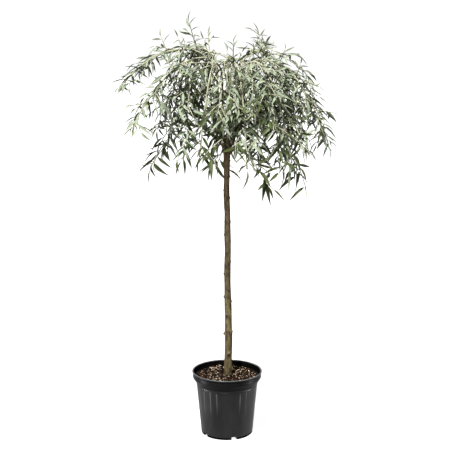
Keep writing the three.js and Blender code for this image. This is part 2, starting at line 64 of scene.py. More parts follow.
# The studio: a white lit floor that runs out to a white surround, so that the plant stands clear of
# its ground. A large lamp high on the left gives it form and a weak one in front softens its shade.
# Gridded soft boxes light the trunk under the leaves and the two sides of the pot.
FLOOR_SIZE = 120.0
FLOOR_GLOW = 0.95
FLOOR_TONE = (0.2, 0.2, 0.2, 1)
FLOOR_BOUNCE = (0.05, 0.05, 0.05, 1)
FLOOR_SHEEN = 0.60
WHITE = (1, 1, 1, 1)
SURROUND_SHOWN = 1.05
SURROUND_LIGHT = 0.24
LAMPS = {
    "high_lamp": {"strength": 8.8, "softness": 6, "lean": 27, "turn": -20},
    "front_lamp": {"strength": 0.20, "softness": 30, "lean": 72, "turn": -12},
}
SOFT_BOXES = {
    "trunk_box": {"power": 1.1, "size": 0.5, "place": (-0.35, -2.3, 0.70)},
    "pot_box_left": {"power": 0.25, "size": 0.25, "place": (-1.5, -0.2, 0.13)},
    "pot_box_right": {"power": 0.19, "size": 0.25, "place": (1.5, -0.2, 0.13)},
}
SOFT_BOX_SPREAD = math.radians(20)
SOFT_BOX_LEVEL = math.radians(90)

bpy.context.scene.view_settings.view_transform = "Standard"
surround = bpy.data.worlds.new("white_surround")
surround.use_nodes = True
nodes, links = surround.node_tree.nodes, surround.node_tree.links
shown, cast = nodes["Background"], nodes.new("ShaderNodeBackground")
shown.inputs["Color"].default_value = WHITE
shown.inputs["Strength"].default_value = SURROUND_SHOWN
cast.inputs["Color"].default_value = WHITE
cast.inputs["Strength"].default_value = SURROUND_LIGHT
seen = nodes.new("ShaderNodeLightPath")
either = nodes.new("ShaderNodeMixShader")
links.new(seen.outputs["Is Camera Ray"], either.inputs["Fac"])
links.new(cast.outputs["Background"], either.inputs[1])
links.new(shown.outputs["Background"], either.inputs[2])
links.new(either.outputs["Shader"], nodes["World Output"].inputs["Surface"])
bpy.context.scene.world = surround

for name, setting in LAMPS.items():
    lamp_data = bpy.data.lights.new(name, "SUN")
    lamp_data.energy = setting["strength"]
    lamp_data.angle = math.radians(setting["softness"])
    lamp = bpy.data.objects.new(name, lamp_data)
    lamp.rotation_euler = (math.radians(setting["lean"]), 0, math.radians(setting["turn"]))
    bpy.context.scene.collection.objects.link(lamp)

for name, setting in SOFT_BOXES.items():
    box_data = bpy.data.lights.new(name, "AREA")
    box_data.energy = setting["power"]
    box_data.size = setting["size"]
    box_data.spread = SOFT_BOX_SPREAD
    soft_box = bpy.data.objects.new(name, box_data)
    soft_box.location = setting["place"]
    towards_plant = math.atan2(setting["place"][0], -setting["place"][1])
    soft_box.rotation_euler = (SOFT_BOX_LEVEL, 0, towards_plant)
    bpy.context.scene.collection.objects.link(soft_box)

# A paint is one finish: its material, and the nodes, links and shader that make it up.
Paint = namedtuple("Paint", "material nodes links shader")


def new_paint(name):
    """A plain finish, still to be coloured."""
    material = bpy.data.materials.new(name)
    material.use_nodes = True
    tree = material.node_tree
    return Paint(material, tree.nodes, tree.links, tree.nodes["Principled BSDF"])


def new_piece(name, points, faces, paints, slots=None, sharp_angle=None):
    """A mesh object from arrays of points and faces; slots deals out the paints by face."""
    mesh = bpy.data.meshes.new(name)
    mesh.from_pydata(np.asarray(points).tolist(), [], [list(face) for face in faces])
    for paint in paints:
        mesh.materials.append(paint.material)
    if slots is not None:
        mesh.polygons.foreach_set("material_index", np.asarray(slots, dtype=np.int32))
    mesh.polygons.foreach_set("use_smooth", np.ones(len(mesh.polygons), dtype=bool))
    if sharp_angle is not None:
        mesh.set_sharp_from_angle(angle=sharp_angle)
    mesh.update()
    piece = bpy.data.objects.new(name, mesh)
    bpy.context.scene.collection.objects.link(piece)
    return piece


floor_paint = new_paint("floor_paint")
nodes, links, bounce = floor_paint.nodes, floor_paint.links, floor_paint.shader
bounce.inputs["Base Color"].default_value = FLOOR_BOUNCE
bounce.inputs["Specular IOR Level"].default_value = 0.0
glow = nodes.new("ShaderNodeEmission")
glow.inputs["Strength"].default_value = FLOOR_GLOW
matt = nodes.new("ShaderNodeBsdfDiffuse")
matt.inputs["Color"].default_value = FLOOR_TONE
lit_floor = nodes.new("ShaderNodeAddShader")
links.new(glow.outputs["Emission"], lit_floor.inputs[0])
links.new(matt.outputs["BSDF"], lit_floor.inputs[1])
seen = nodes.new("ShaderNodeLightPath")
sheen = nodes.new("ShaderNodeEmission")
sheen.inputs["Strength"].default_value = FLOOR_SHEEN
unseen = nodes.new("ShaderNodeMixShader")
links.new(seen.outputs["Is Glossy Ray"], unseen.inputs["Fac"])
links.new(bounce.outputs["BSDF"], unseen.inputs[1])
links.new(sheen.outputs["Emission"], unseen.inputs[2])
either = nodes.new("ShaderNodeMixShader")
links.new(seen.outputs["Is Camera Ray"], either.inputs["Fac"])
links.new(unseen.outputs["Shader"], either.inputs[1])
links.new(lit_floor.outputs["Shader"], either.inputs[2])
links.new(either.outputs["Shader"], nodes["Material Output"].inputs["Surface"])
half = FLOOR_SIZE / 2
floor_corners = [(-half, -half, 0), (half, -half, 0), (half, half, 0), (-half, half, 0)]
floor = new_piece("studio_floor", floor_corners, [(0, 1, 2, 3)], [floor_paint])


# The pot: a tapered tub moulded in black plastic, with a rolled lip, a rim band on a sloping shoulder,
# a thin bead, and ribs that fade out down the wall. Channels in its foot let it drain.
POT_HEIGHT = 0.245
POT_TURNS = 480
POT_WALL = 0.0022
POT_FLOOR = 0.014
POT_SHARP_ANGLE = math.radians(42)
WALL_RING_STEP = 0.0055
WALL_UNDER_BEAD = 0.001
RIM_RADIUS = 0.1335
BAND_RADIUS = 0.1305
BAND_FOOT = 0.221
LIP_RADIUS = 0.0029
LIP_ARC = np.radians([-70, -40, -10, 20, 50, 75, 95, 120, 150, 175])
LIP_INSIDE = 3
BAND_FINISH = 0.197
FOOT_RINGS = 4
COLLAR_TOP = 0.199
COLLAR_RADIUS = 0.1185
COLLAR_EDGE = 0.001
BASE_RADIUS = 0.0985
BASE_EDGE = 0.003
BASE_ARC = np.radians([30, 60])
BEAD_HEIGHT = 0.190
BEAD_PROUD = 0.0009
# small steps of the section: the bead's (rise, share of its depth), the others' (out, rise)
BEAD_STEPS = ((-0.0012, 0), (0.0001, 0.4), (0.0008, 1), (0.0018, 1), (0.0026, 0.3), (0.0036, 0))
SHOULDER_STEP = (0.0006, 0.0008)
BAND_STEPS = ((-0.0012, -0.0018), (0, 0), (0.0003, 0.0016), (0, 0.0032))
UNDER_LIP_STEP = (-0.0006, -0.001)
INSIDE_LIP_STEP = (-0.0004, -0.008)
RIB_FOOT = 0.088
RIB_PITCH = math.radians(30)
RIB_HALF_WIDTH = math.radians(7.0)
RIB_SOFT_EDGE = math.radians(1.6)
RIB_DEPTH = 0.003
FRONT = math.radians(-90)
PLAIN_PANEL = FRONT + math.radians(3)
CHANNEL_COUNT = 5
CHANNEL_WIDTH = 0.023
CHANNEL_NARROWING = 0.88
CHANNEL_HEIGHT = 0.012
CHANNEL_INNER_END = 0.045
FIRST_CHANNEL = FRONT + math.radians(16)
# patterns are (scale, detail, stretch), reliefs (strength, depth), colours steps of (place, colour)
SCUFFS = (34, 6, (1, 1, 0.35))
SCUFF_RANGE = (0.3, 0.7)
PLASTIC_ROUGHNESS = (0.28, 0.40)
PLASTIC_GRAIN = (420, 3)
GRAIN_RELIEF = (0.12, 0.0004)
WALL_GLOSS = 0.5
PLAIN_WALL = [(0.35, (0.002, 0.002, 0.0022)), (0.75, (0.009, 0.009, 0.0097))]
# a painted highlight along the rib edges: its colours, its fully lit core, and the height under the bead
# where the bead's painted shadow takes it away
PAINTED_RIB_HIGHLIGHTS = [(0.30, (0.042, 0.042, 0.043)), (0.70, (0.140, 0.140, 0.144))]
RIB_HIGHLIGHT_CORE = 0.2 * RIB_SOFT_EDGE
BEAD_SHADOW_HEIGHT = 0.002
PANEL_EDGES = (0.5 * RIB_PITCH, 0.55 * RIB_PITCH)
BAND_GLOSS = 0.15
# painted shade: the band and shoulder under the lip take a darker black
SHADED_BAND = [(0.35, (0.002, 0.002, 0.0021)), (0.75, (0.006, 0.006, 0.0064))]
# a painted highlight along the top of the lip, and the heights over which it comes in
PAINTED_LIP_HIGHLIGHT = [(0.30, (0.045, 0.045, 0.046)), (0.75, (0.110, 0.108, 0.108))]
LIP_HIGHLIGHT_HEIGHTS = (0.2405, 0.2445)
# painted shade: a matt near black for the inside of the pot, its underside and its foot
SHADE_MOTTLE = (22, 5, (1, 1, 0.5))
PAINTED_SHADE_COLOURS = [(0.35, (0.001, 0.001, 0.001)), (0.75, (0.005, 0.0045, 0.004))]
PAINTED_SHADE_ROUGHNESS = 0.95
PAINTED_SHADE_GLOSS = 0.0


def pot_wall(height):
    """The radius of the plain outer wall at a height."""
    return BASE_RADIUS + (COLLAR_RADIUS - BASE_RADIUS) * height / BAND_FOOT


def smooth_step(low, high, value):
    """Runs from 0 at a low value to 1 at a high one, level at both."""
    share = np.clip((value - low) / (high - low), 0, 1)
    return share * share * (3 - 2 * share)


def turn_apart(turns, place):
    """How far turns are from a place on the circle, to either side of it."""
    return (turns - place + math.pi) % (2 * math.pi) - math.pi


def pressed_in(height, turns):
    """How deep the wall is pressed in between the ribs, at a height, all round."""
    if height > BEAD_HEIGHT:
        return np.zeros(len(turns))
    fade = np.clip((height - RIB_FOOT) / (BEAD_HEIGHT - RIB_FOOT), 0, 1)
    from_panel = turn_apart(turns, PLAIN_PANEL)
    from_rib = np.abs((from_panel + RIB_PITCH / 2) % RIB_PITCH - RIB_PITCH / 2)
    rib = 1 - smooth_step(RIB_HALF_WIDTH - RIB_SOFT_EDGE, RIB_HALF_WIDTH + RIB_SOFT_EDGE, from_rib)
    rib[np.abs(from_panel) < RIB_PITCH / 2] = 0
    return RIB_DEPTH * fade * (1 - rib)


def pot_profile():
    """The section of the pot, from the middle of its underside out, up, over the lip and back."""
    base_middle = BASE_RADIUS - BASE_EDGE
    section = [(base_middle, 0.0)]
    for angle in BASE_ARC:
        section.append((base_middle + BASE_EDGE * math.sin(angle), BASE_EDGE * (1 - math.cos(angle))))
    for height in np.arange(BASE_EDGE, BEAD_HEIGHT - WALL_UNDER_BEAD, WALL_RING_STEP):
        section.append((pot_wall(height), height))
    for rise, proud in BEAD_STEPS:
        height = BEAD_HEIGHT + rise
        section.append((pot_wall(height) + BEAD_PROUD * proud, height))
    section.append((pot_wall(COLLAR_TOP - COLLAR_EDGE), COLLAR_TOP - COLLAR_EDGE))
    section.append((pot_wall(COLLAR_TOP) + SHOULDER_STEP[0], COLLAR_TOP + SHOULDER_STEP[1]))
    section += [(BAND_RADIUS + out, BAND_FOOT + rise) for out, rise in BAND_STEPS]
    section.append((BAND_RADIUS + UNDER_LIP_STEP[0], POT_HEIGHT - 2 * LIP_RADIUS + UNDER_LIP_STEP[1]))
    lip_middle = RIM_RADIUS - LIP_RADIUS
    for angle in LIP_ARC:
        out = LIP_RADIUS * math.cos(angle)
        section.append((lip_middle + out, POT_HEIGHT - LIP_RADIUS + LIP_RADIUS * math.sin(angle)))
    section.append((lip_middle - LIP_RADIUS + INSIDE_LIP_STEP[0], POT_HEIGHT + INSIDE_LIP_STEP[1]))
    section.append((BAND_RADIUS - POT_WALL, BAND_FOOT))
    section.append((pot_wall(COLLAR_TOP) - POT_WALL, COLLAR_TOP))
    section.append((pot_wall(BEAD_HEIGHT) - RIB_DEPTH - POT_WALL, BEAD_HEIGHT))
    section.append((pot_wall(POT_FLOOR) - RIB_DEPTH - POT_WALL, POT_FLOOR))
    return section


def level_ring(turns, radii, heights, middle=(0, 0)):
    """A ring of points round an upright axis; radii and heights are plain numbers or one a turn."""
    x = middle[0] + radii * np.cos(turns)
    y = middle[1] + radii * np.sin(turns)
    return np.stack([x, y, np.broadcast_to(heights, len(turns))], axis=1)


def round_rings(rings):
    """Closed faces over rings of points, with a middle point at each end."""
    count, turns = rings.shape[:2]
    points = np.vstack([rings.reshape(-1, 3), rings[0].mean(0), rings[-1].mean(0)])
    grid = np.arange(count * turns).reshape(count, turns)
    ahead = np.roll(grid, -1, axis=1)
    sides = np.stack([grid[:-1], ahead[:-1], ahead[1:], grid[1:]], axis=-1).reshape(-1, 4)
    first, last = count * turns, count * turns + 1
    faces = sides.tolist()
    faces += [(first, b, a) for a, b in zip(grid[0], ahead[0])]
    faces += [(last, a, b) for a, b in zip(grid[-1], ahead[-1])]
    return points, faces


def pattern(paint, scale, detail, stretch=(1, 1, 1)):
    """A cloudy pattern that lies in the piece's own space, stretched along an axis if asked."""
    place = paint.nodes.new("ShaderNodeTexCoord")
    mapping = paint.nodes.new("ShaderNodeMapping")
    mapping.inputs["Scale"].default_value = stretch
    noise = paint.nodes.new("ShaderNodeTexNoise")
    noise.inputs["Scale"].default_value = scale
    noise.inputs["Detail"].default_value = detail
    paint.links.new(place.outputs["Object"], mapping.inputs["Vector"])
    paint.links.new(mapping.outputs["Vector"], noise.inputs["Vector"])
    return noise.outputs["Fac"]


def colour_steps(paint, value, steps):
    """Colours that a value runs through, as (place, colour) steps."""
    steps = list(steps)
    ramp = paint.nodes.new("ShaderNodeValToRGB")
    while len(ramp.color_ramp.elements) < len(steps):
        ramp.color_ramp.elements.new(0.5)
    for element, (place, colour) in zip(ramp.color_ramp.elements, steps):
        element.position = place
        element.color = (*colour, 1)
    paint.links.new(value, ramp.inputs["Fac"])
    return ramp.outputs["Color"]


def spread_value(paint, value, ends, new_ends):
    """A value stretched from one range to another, without running over."""
    stretch = paint.nodes.new("ShaderNodeMapRange")
    stretch.inputs["From Min"].default_value = ends[0]
    stretch.inputs["From Max"].default_value = ends[1]
    stretch.inputs["To Min"].default_value = new_ends[0]
    stretch.inputs["To Max"].default_value = new_ends[1]
    paint.links.new(value, stretch.inputs["Value"])
    return stretch.outputs["Result"]


def add_relief(paint, value, strength, depth):
    """Fine relief on a surface, from a pattern."""
    relief = paint.nodes.new("ShaderNodeBump")
    relief.inputs["Strength"].default_value = strength
    relief.inputs["Distance"].default_value = depth
    paint.links.new(value, relief.inputs["Height"])
    paint.links.new(relief.outputs["Normal"], paint.shader.inputs["Normal"])


def mix_colours(paint, share, first, second):
    """From the first colour to the second, by a share."""
    mixer = paint.nodes.new("ShaderNodeMix")
    mixer.data_type = "RGBA"
    paint.links.new(share, mixer.inputs["Factor"])
    paint.links.new(first, mixer.inputs["A"])
    paint.links.new(second, mixer.inputs["B"])
    return mixer.outputs["Result"]


def set_colour(paint, colour):
    """Gives a paint its worked out colour."""
    paint.links.new(colour, paint.shader.inputs["Base Color"])


def set_finish(paint, roughness, gloss):
    """Gives a paint an even roughness and gloss."""
    paint.shader.inputs["Roughness"].default_value = roughness
    paint.shader.inputs["Specular IOR Level"].default_value = gloss


def place_parts(paint):
    """X, Y and Z of the point that is shaded, Z being its height above the ground."""
    place = paint.nodes.new("ShaderNodeTexCoord")
    parts = paint.nodes.new("ShaderNodeSeparateXYZ")
    paint.links.new(place.outputs["Object"], parts.inputs["Vector"])
    return parts.outputs


def reckon(paint, operation, first, second=0):
    """One step of arithmetic on a value, with another value or a plain number."""
    step = paint.nodes.new("ShaderNodeMath")
    step.operation = operation
    paint.links.new(first, step.inputs[0])
    if isinstance(second, (int, float)):
        step.inputs[1].default_value = second
    else:
        paint.links.new(second, step.inputs[1])
    return step.outputs["Value"]


def distance_from(paint, value, place):
    """How far a value is from a place, to either side of it."""
    return reckon(paint, "ABSOLUTE", reckon(paint, "SUBTRACT", value, place))


def rib_edges(paint):
    """One along the rib edges, for their painted highlight, fading down the wall and out just under the
    bead, and nothing elsewhere.
    """
    parts = place_parts(paint)
    turn = reckon(paint, "ARCTAN2", parts["Y"], parts["X"])
    from_panel = reckon(paint, "ADD", turn, RIB_PITCH / 2 - PLAIN_PANEL)
    in_pitch = reckon(paint, "FLOORED_MODULO", from_panel, RIB_PITCH)
    from_rib = distance_from(paint, in_pitch, RIB_PITCH / 2)
    from_edge = distance_from(paint, from_rib, RIB_HALF_WIDTH)
    edge = spread_value(paint, from_edge, (RIB_HIGHLIGHT_CORE, RIB_SOFT_EDGE), (1, 0))
    beside_panel = spread_value(paint, distance_from(paint, turn, PLAIN_PANEL), PANEL_EDGES, (0, 1))
    rising = spread_value(paint, parts["Z"], (RIB_FOOT, BEAD_HEIGHT), (0, 1))
    below_bead = spread_value(paint, parts["Z"], (BEAD_HEIGHT - BEAD_SHADOW_HEIGHT, BEAD_HEIGHT), (1, 0))
    on_wall = reckon(paint, "MULTIPLY", rising, below_bead)
    return reckon(paint, "MULTIPLY", reckon(paint, "MULTIPLY", edge, beside_panel), on_wall)


def moulded_plastic(name, gloss):
    """Black plastic that is cloudy and slightly scuffed, and its scuffs, to be coloured by."""
    paint = new_paint(name)
    scuffs = pattern(paint, *SCUFFS)
    roughness = spread_value(paint, scuffs, SCUFF_RANGE, PLASTIC_ROUGHNESS)
    paint.links.new(roughness, paint.shader.inputs["Roughness"])
    paint.shader.inputs["Specular IOR Level"].default_value = gloss
    add_relief(paint, pattern(paint, *PLASTIC_GRAIN), *GRAIN_RELIEF)
    return paint, scuffs


wall_plastic, scuffs = moulded_plastic("wall_plastic", WALL_GLOSS)
plain = colour_steps(wall_plastic, scuffs, PLAIN_WALL)
# the rib edges are lighter than the plain wall: a painted highlight
rib_highlight = colour_steps(wall_plastic, scuffs, PAINTED_RIB_HIGHLIGHTS)
set_colour(wall_plastic, mix_colours(wall_plastic, rib_edges(wall_plastic), plain, rib_highlight))

band_plastic, scuffs = moulded_plastic("band_plastic", BAND_GLOSS)
# painted shade on the band and shoulder under the lip
shaded_band = colour_steps(band_plastic, scuffs, SHADED_BAND)
# painted highlight: the top of the lip is a lighter grey
lip_highlight = colour_steps(band_plastic, scuffs, PAINTED_LIP_HIGHLIGHT)
on_lip = spread_value(band_plastic, place_parts(band_plastic)["Z"], LIP_HIGHLIGHT_HEIGHTS, (0, 1))
set_colour(band_plastic, mix_colours(band_plastic, on_lip, shaded_band, lip_highlight))

# painted shade for the pot's inside, underside and foot
painted_shade_plastic = new_paint("painted_shade_plastic")
set_colour(painted_shade_plastic, colour_steps(painted_shade_plastic, pattern(painted_shade_plastic, *SHADE_MOTTLE), PAINTED_SHADE_COLOURS))
set_finish(painted_shade_plastic, PAINTED_SHADE_ROUGHNESS, PAINTED_SHADE_GLOSS)

pot_paints = [wall_plastic, band_plastic, painted_shade_plastic]
turns = np.linspace(0, 2 * math.pi, POT_TURNS, endpoint=False)
section = pot_profile()
lip_start = max(range(len(section)), key=lambda i: section[i][1])
rings = []
for i, (radius, height) in enumerate(section):
    radii = radius - (pressed_in(height, turns) if i < lip_start else 0)
    rings.append(level_ring(turns, radii, height))
points, faces = round_rings(np.array(rings))
band_start = next(i for i, (_, height) in enumerate(section) if height > BAND_FINISH)
slots = np.full(len(faces), pot_paints.index(wall_plastic))
# the underside, the foot and the inside take the painted shade
slots[:FOOT_RINGS * POT_TURNS] = pot_paints.index(painted_shade_plastic)
slots[band_start * POT_TURNS:] = pot_paints.index(band_plastic)
slots[(lip_start + LIP_INSIDE) * POT_TURNS:] = pot_paints.index(painted_shade_plastic)
pot = new_piece("nursery_pot", points, faces, pot_paints, slots)

channel_length = 2 * (BASE_RADIUS - CHANNEL_INNER_END)
box_corners = np.array([(x, y, z) for x in (0, 1) for y in (-0.5, 0.5) for z in (-1, 1)])
box_faces = np.array([(0, 1, 3, 2), (4, 6, 7, 5), (0, 4, 5, 1), (2, 3, 7, 6), (0, 2, 6, 4), (1, 5, 7, 3)])
channel_points = []
channel_faces = []
for k in range(CHANNEL_COUNT):
    turn = FIRST_CHANNEL + 2 * math.pi * k / CHANNEL_COUNT
    along = np.array([math.cos(turn), math.sin(turn), 0])
    across = np.array([-math.sin(turn), math.cos(turn), 0])
    for x, y, z in box_corners:
        reach = CHANNEL_INNER_END + x * channel_length
        aside = y * CHANNEL_WIDTH * (CHANNEL_NARROWING if z > 0 else 1)
        channel_points.append(along * reach + across * aside + [0, 0, z * CHANNEL_HEIGHT])
    channel_faces += (box_faces + len(box_corners) * k).tolist()
channels = new_piece("drain_channels", channel_points, channel_faces, [wall_plastic])
cut = pot.modifiers.new("drain_channels", "BOOLEAN")
cut.operation = "DIFFERENCE"
cut.solver = "MANIFOLD"
cut.object = channels
cut_mesh = bpy.data.meshes.new_from_object(pot.evaluated_get(bpy.context.evaluated_depsgraph_get()))
pot.modifiers.clear()
pot.data = cut_mesh
pot.data.set_sharp_from_angle(angle=POT_SHARP_ANGLE)
bpy.data.objects.remove(channels)
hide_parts("pot")
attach(pot, "root")


# The potting mix: coarse bark mulch that fills the pot to under the rim. A dark uneven bed carries
# loose bark chips, most of them dark, some brown and some pale where the wood is fresh.
BED_HEIGHT = 0.224
BED_EDGE = 0.2215
BED_RADIUS = 0.1262
BED_LEVEL_RADIUS = 0.075
BED_FOOT = 0.206
BED_FOOT_RADIUS = 0.115
BED_RINGS = 34
BED_INNER_RING = 0.004
BED_TURNS = 150
BED_BUMPS = 0.0016
BED_EVEN_RADIUS = 0.02
BED_COLOURS = ((0.0008, 0.0005, 0.0004), (0.007, 0.004, 0.0026))
BED_GRIT_SCALE = 160
CHIP_SPREAD = 0.72
CHIP_LENGTH = (0.006, 0.016)
CHIP_WIDTH = (0.0025, 0.0065)
CHIP_THICKNESS = (0.0014, 0.0032)
CHIP_CORNERS = (0.55, 1.0)
CHIP_TILT = 0.32
CHIP_LIFT = (0.0002, 0.0042)
CHIP_SHARP_ANGLE = math.radians(30)
CHIP_GRIT_SCALE = 110
# kind: how many, breadth, dark and light colour
CHIP_KINDS = {
    "dark_bark_chips": (1150, 1.0, (0.0008, 0.0005, 0.0004), (0.009, 0.0045, 0.0026)),
    "brown_bark_chips": (460, 0.9, (0.014, 0.005, 0.002), (0.062, 0.026, 0.011)),
    "pale_wood_chips": (400, 0.24, (0.20, 0.145, 0.088), (0.74, 0.61, 0.44)),
}
TRUNK_CLEARANCE = 0.014
HEAP_HEIGHT = 0.007
HEAP_TURN = math.radians(70)
HEAP_SHARE = (0.3, 1)
GRIT_PLACES = (0.32, 0.68)
GRIT_DETAIL = 6
GRIT_ROUGHNESS = 0.92
GRIT_GLOSS = 0.1
GRIT_RELIEF = (0.7, 0.0015)
GRIT_RELIEF_DETAIL = 5
GRIT_RELIEF_FINENESS = 3
MULCH_SEED = 218
mulch_draws = np.random.default_rng(MULCH_SEED)


def bed_height(radius):
    """The bed is level in the middle and sinks towards the pot's wall."""
    return BED_HEIGHT - (BED_HEIGHT - BED_EDGE) * smooth_step(BED_LEVEL_RADIUS, BED_RADIUS, radius)


def grit_paint(name, dark, light, scale):
    """Rough crumbly bark, from a dark to a light colour."""
    paint = new_paint(name)
    grain = pattern(paint, scale, GRIT_DETAIL)
    set_colour(paint, colour_steps(paint, grain, zip(GRIT_PLACES, (dark, light))))
    set_finish(paint, GRIT_ROUGHNESS, GRIT_GLOSS)
    add_relief(paint, pattern(paint, GRIT_RELIEF_FINENESS * scale, GRIT_RELIEF_DETAIL), *GRIT_RELIEF)
    return paint


bed_paint = grit_paint("dark_mulch", *BED_COLOURS, BED_GRIT_SCALE)
bed_turns = np.linspace(0, 2 * math.pi, BED_TURNS, endpoint=False)
rings = [level_ring(bed_turns, BED_FOOT_RADIUS, BED_FOOT)]
for radius in np.linspace(BED_RADIUS, BED_INNER_RING, BED_RINGS):
    bumps = BED_BUMPS * mulch_draws.uniform(-1, 1, BED_TURNS) * min(1, radius / BED_EVEN_RADIUS)
    rings.append(level_ring(bed_turns, radius, bed_height(radius) + bumps))
points, faces = round_rings(np.array(rings))
bed = new_piece("mulch_bed", points, faces, [bed_paint])
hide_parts("potting_mix")
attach(bed, "root")

nearest_trunk = (TRUNK_CLEARANCE / BED_RADIUS) ** 2
chip_box = (box_corners - [0.5, 0, 0]) * [1, 1, 0.5]
for name, (count, breadth, dark, light) in CHIP_KINDS.items():
    chip_points = []
    chip_faces = []
    for k in range(count):
        spread = math.sqrt(mulch_draws.uniform(nearest_trunk, CHIP_SPREAD)) * BED_RADIUS
        turn = mulch_draws.uniform(0, 2 * math.pi)
        size = np.array([mulch_draws.uniform(*CHIP_LENGTH), breadth * mulch_draws.uniform(*CHIP_WIDTH),
                         mulch_draws.uniform(*CHIP_THICKNESS)])
        corners = chip_box * size * mulch_draws.uniform(*CHIP_CORNERS, (len(chip_box), 1))
        heading = mulch_draws.uniform(0, 2 * math.pi)
        pitch, roll = mulch_draws.normal(0, CHIP_TILT, 2)
        ahead = np.array([math.cos(heading), math.sin(heading), 0])
        along = ahead * math.cos(pitch) + [0, 0, math.sin(pitch)]
        level = np.array([-math.sin(heading), math.cos(heading), 0])
        across = level * math.cos(roll) + np.cross(along, level) * math.sin(roll)
        turned = corners @ np.stack([along, across, np.cross(along, across)])
        heaped = HEAP_HEIGHT * (spread / BED_RADIUS) ** 2 * (0.5 + 0.5 * math.cos(turn - HEAP_TURN))
        lift = bed_height(spread) + mulch_draws.uniform(*CHIP_LIFT)
        lift += heaped * mulch_draws.uniform(*HEAP_SHARE)
        chip_points.append(turned + [spread * math.cos(turn), spread * math.sin(turn), lift])
        chip_faces += (box_faces + len(chip_box) * k).tolist()
    chip_paint = grit_paint(name, dark, light, CHIP_GRIT_SCALE)
    chips = new_piece(name, np.vstack(chip_points), chip_faces, [chip_paint], sharp_angle=CHIP_SHARP_ANGLE)
    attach(chips, "root")


# The trunk: a straight young stem with smooth olive bark, bud scars up its length, two old rings,
# a slight flare where it leaves the mulch and a swollen graft at its top.
TRUNK_FOOT = 0.2253
TRUNK_TOP = 1.132
TRUNK_SUNK = 0.008
TRUNK_RING_STEP = 0.0035
TRUNK_TURNS = 44
TRUNK_FOOT_RADIUS = 0.0145
TRUNK_TOP_RADIUS = 0.010
TRUNK_TAPER = 2
TRUNK_END_SHARE = 0.2
ROOT_FLARE = 0.0012
ROOT_FLARE_HEIGHT = 0.022
GRAFT_HEIGHT = 1.095
GRAFT_SWELLING = 0.003
GRAFT_LENGTH = 0.034
TRUNK_FOOT_X = 0.004
TRUNK_LEAN = -0.006
TRUNK_SWAY = 0.0025
TRUNK_BENDS = (2.5, 1.5)
BARK_THICKNESS = 0.0009
BARK_WAVES = {"height": 0.00022, "pace": (14, 60), "phase": (0, 6.28), "lobes": (1, 1, 2, 2, 3, 3, 4)}
OLD_RINGS = (0.388, 0.821)
OLD_RING = {"proud": 0.0009, "half_height": 0.0026, "tilt": 0.003, "tilt_turn": 0.7}
SCAR_SPACING = 0.031
SCAR_SHIFT = 0.014
SCAR_FREE_ENDS = 0.03
SCAR_TURN = math.radians(137.5)
SCAR_SIZE = (0.55, 1.15)
LOW_SCARS = {"under": 0.42, "scale": 1.3}
# a scar is a bud's cushion on a low ridge round the stem, with a notch above it
SCAR_HALF_HEIGHT = 0.0042
SCAR_HALF_TURN = 0.34
SCAR_CUSHION = 0.0060
SCAR_RIDGE = {"proud": 0.0004, "rise": 0.7, "width": 3}
SCAR_NOTCH = {"depth": 0.0011, "rise": 1.3, "height": 0.3, "width": 0.7}
SCAR_REACH = 3
BARK_STREAKS = (55, 6, (1, 1, 0.22))
BARK_PATCHES = (16, 3, (1, 1, 0.5))
BARK_BLOTCHES = (120, 4, (1, 1, 0.4))
BLOTCHED_STRETCHES = (9, 2)
CROSS_MARKS = (130, 3, (0.35, 0.35, 2.2))
CROSS_MARK_PLACES = [(0.60, (0, 0, 0)), (0.74, (1, 1, 1))]
CROSS_MARK_COLOURS = [(0.2, (0.11, 0.085, 0.042)), (0.8, (0.20, 0.16, 0.09))]
CROSS_MARK_SHARE = 0.42
PATCH_PLACES = (0.3, 0.7)
LOW_TINT = {"share": 0.8, "patches": (0.3, 0.6), "in_patches": (0.35, 1.0), "lighter": 1.25}
HIGH_TINT = {"share": 0.75, "patches": (0.35, 0.65), "in_patches": (1.0, 0.3), "lighter": 1.3}
BLOTCHES = {"range": (0.44, 0.58), "share": 0.9, "stretches": (0.36, 0.58), "on_stretches": (0.45, 1.0)}
BLOTCH_LIGHTER = 1.6
BARK_ROUGHNESS = 0.62
BARK_GLOSS = 0.22
BARK_RELIEF = (0.55, 0.0012)
TRUNK_SEED = 1095
trunk_draws = np.random.default_rng(TRUNK_SEED)


def trunk_axis(height):
    """The middle of the stem at a height: it leans and sways a little."""
    share = (height - TRUNK_FOOT) / (TRUNK_TOP - TRUNK_FOOT)
    lean = TRUNK_LEAN * float(smooth_step(0, 1, share))
    bend_x, bend_y = (TRUNK_SWAY * math.sin(bends * math.pi * share) ** 2 for bends in TRUNK_BENDS)
    return np.array([TRUNK_FOOT_X + lean + bend_x, bend_y, height])


def trunk_radius(height):
    """The radius of the wood at a height, with flare, taper, graft and rounded top."""
    share = (height - TRUNK_FOOT) / (TRUNK_TOP - TRUNK_FOOT)
    flare = ROOT_FLARE * math.exp(-max(0, height - TRUNK_FOOT) / ROOT_FLARE_HEIGHT)
    graft = GRAFT_SWELLING * math.exp(-(((height - GRAFT_HEIGHT) / GRAFT_LENGTH) ** 2))
    under_top = (TRUNK_TOP - height) / TRUNK_TOP_RADIUS + TRUNK_END_SHARE
    rounding = math.sqrt(min(1, max(TRUNK_END_SHARE, under_top)))
    wood = TRUNK_TOP_RADIUS + (TRUNK_FOOT_RADIUS - TRUNK_TOP_RADIUS) * max(0, 1 - share) ** TRUNK_TAPER
    return (wood + flare + graft) * rounding


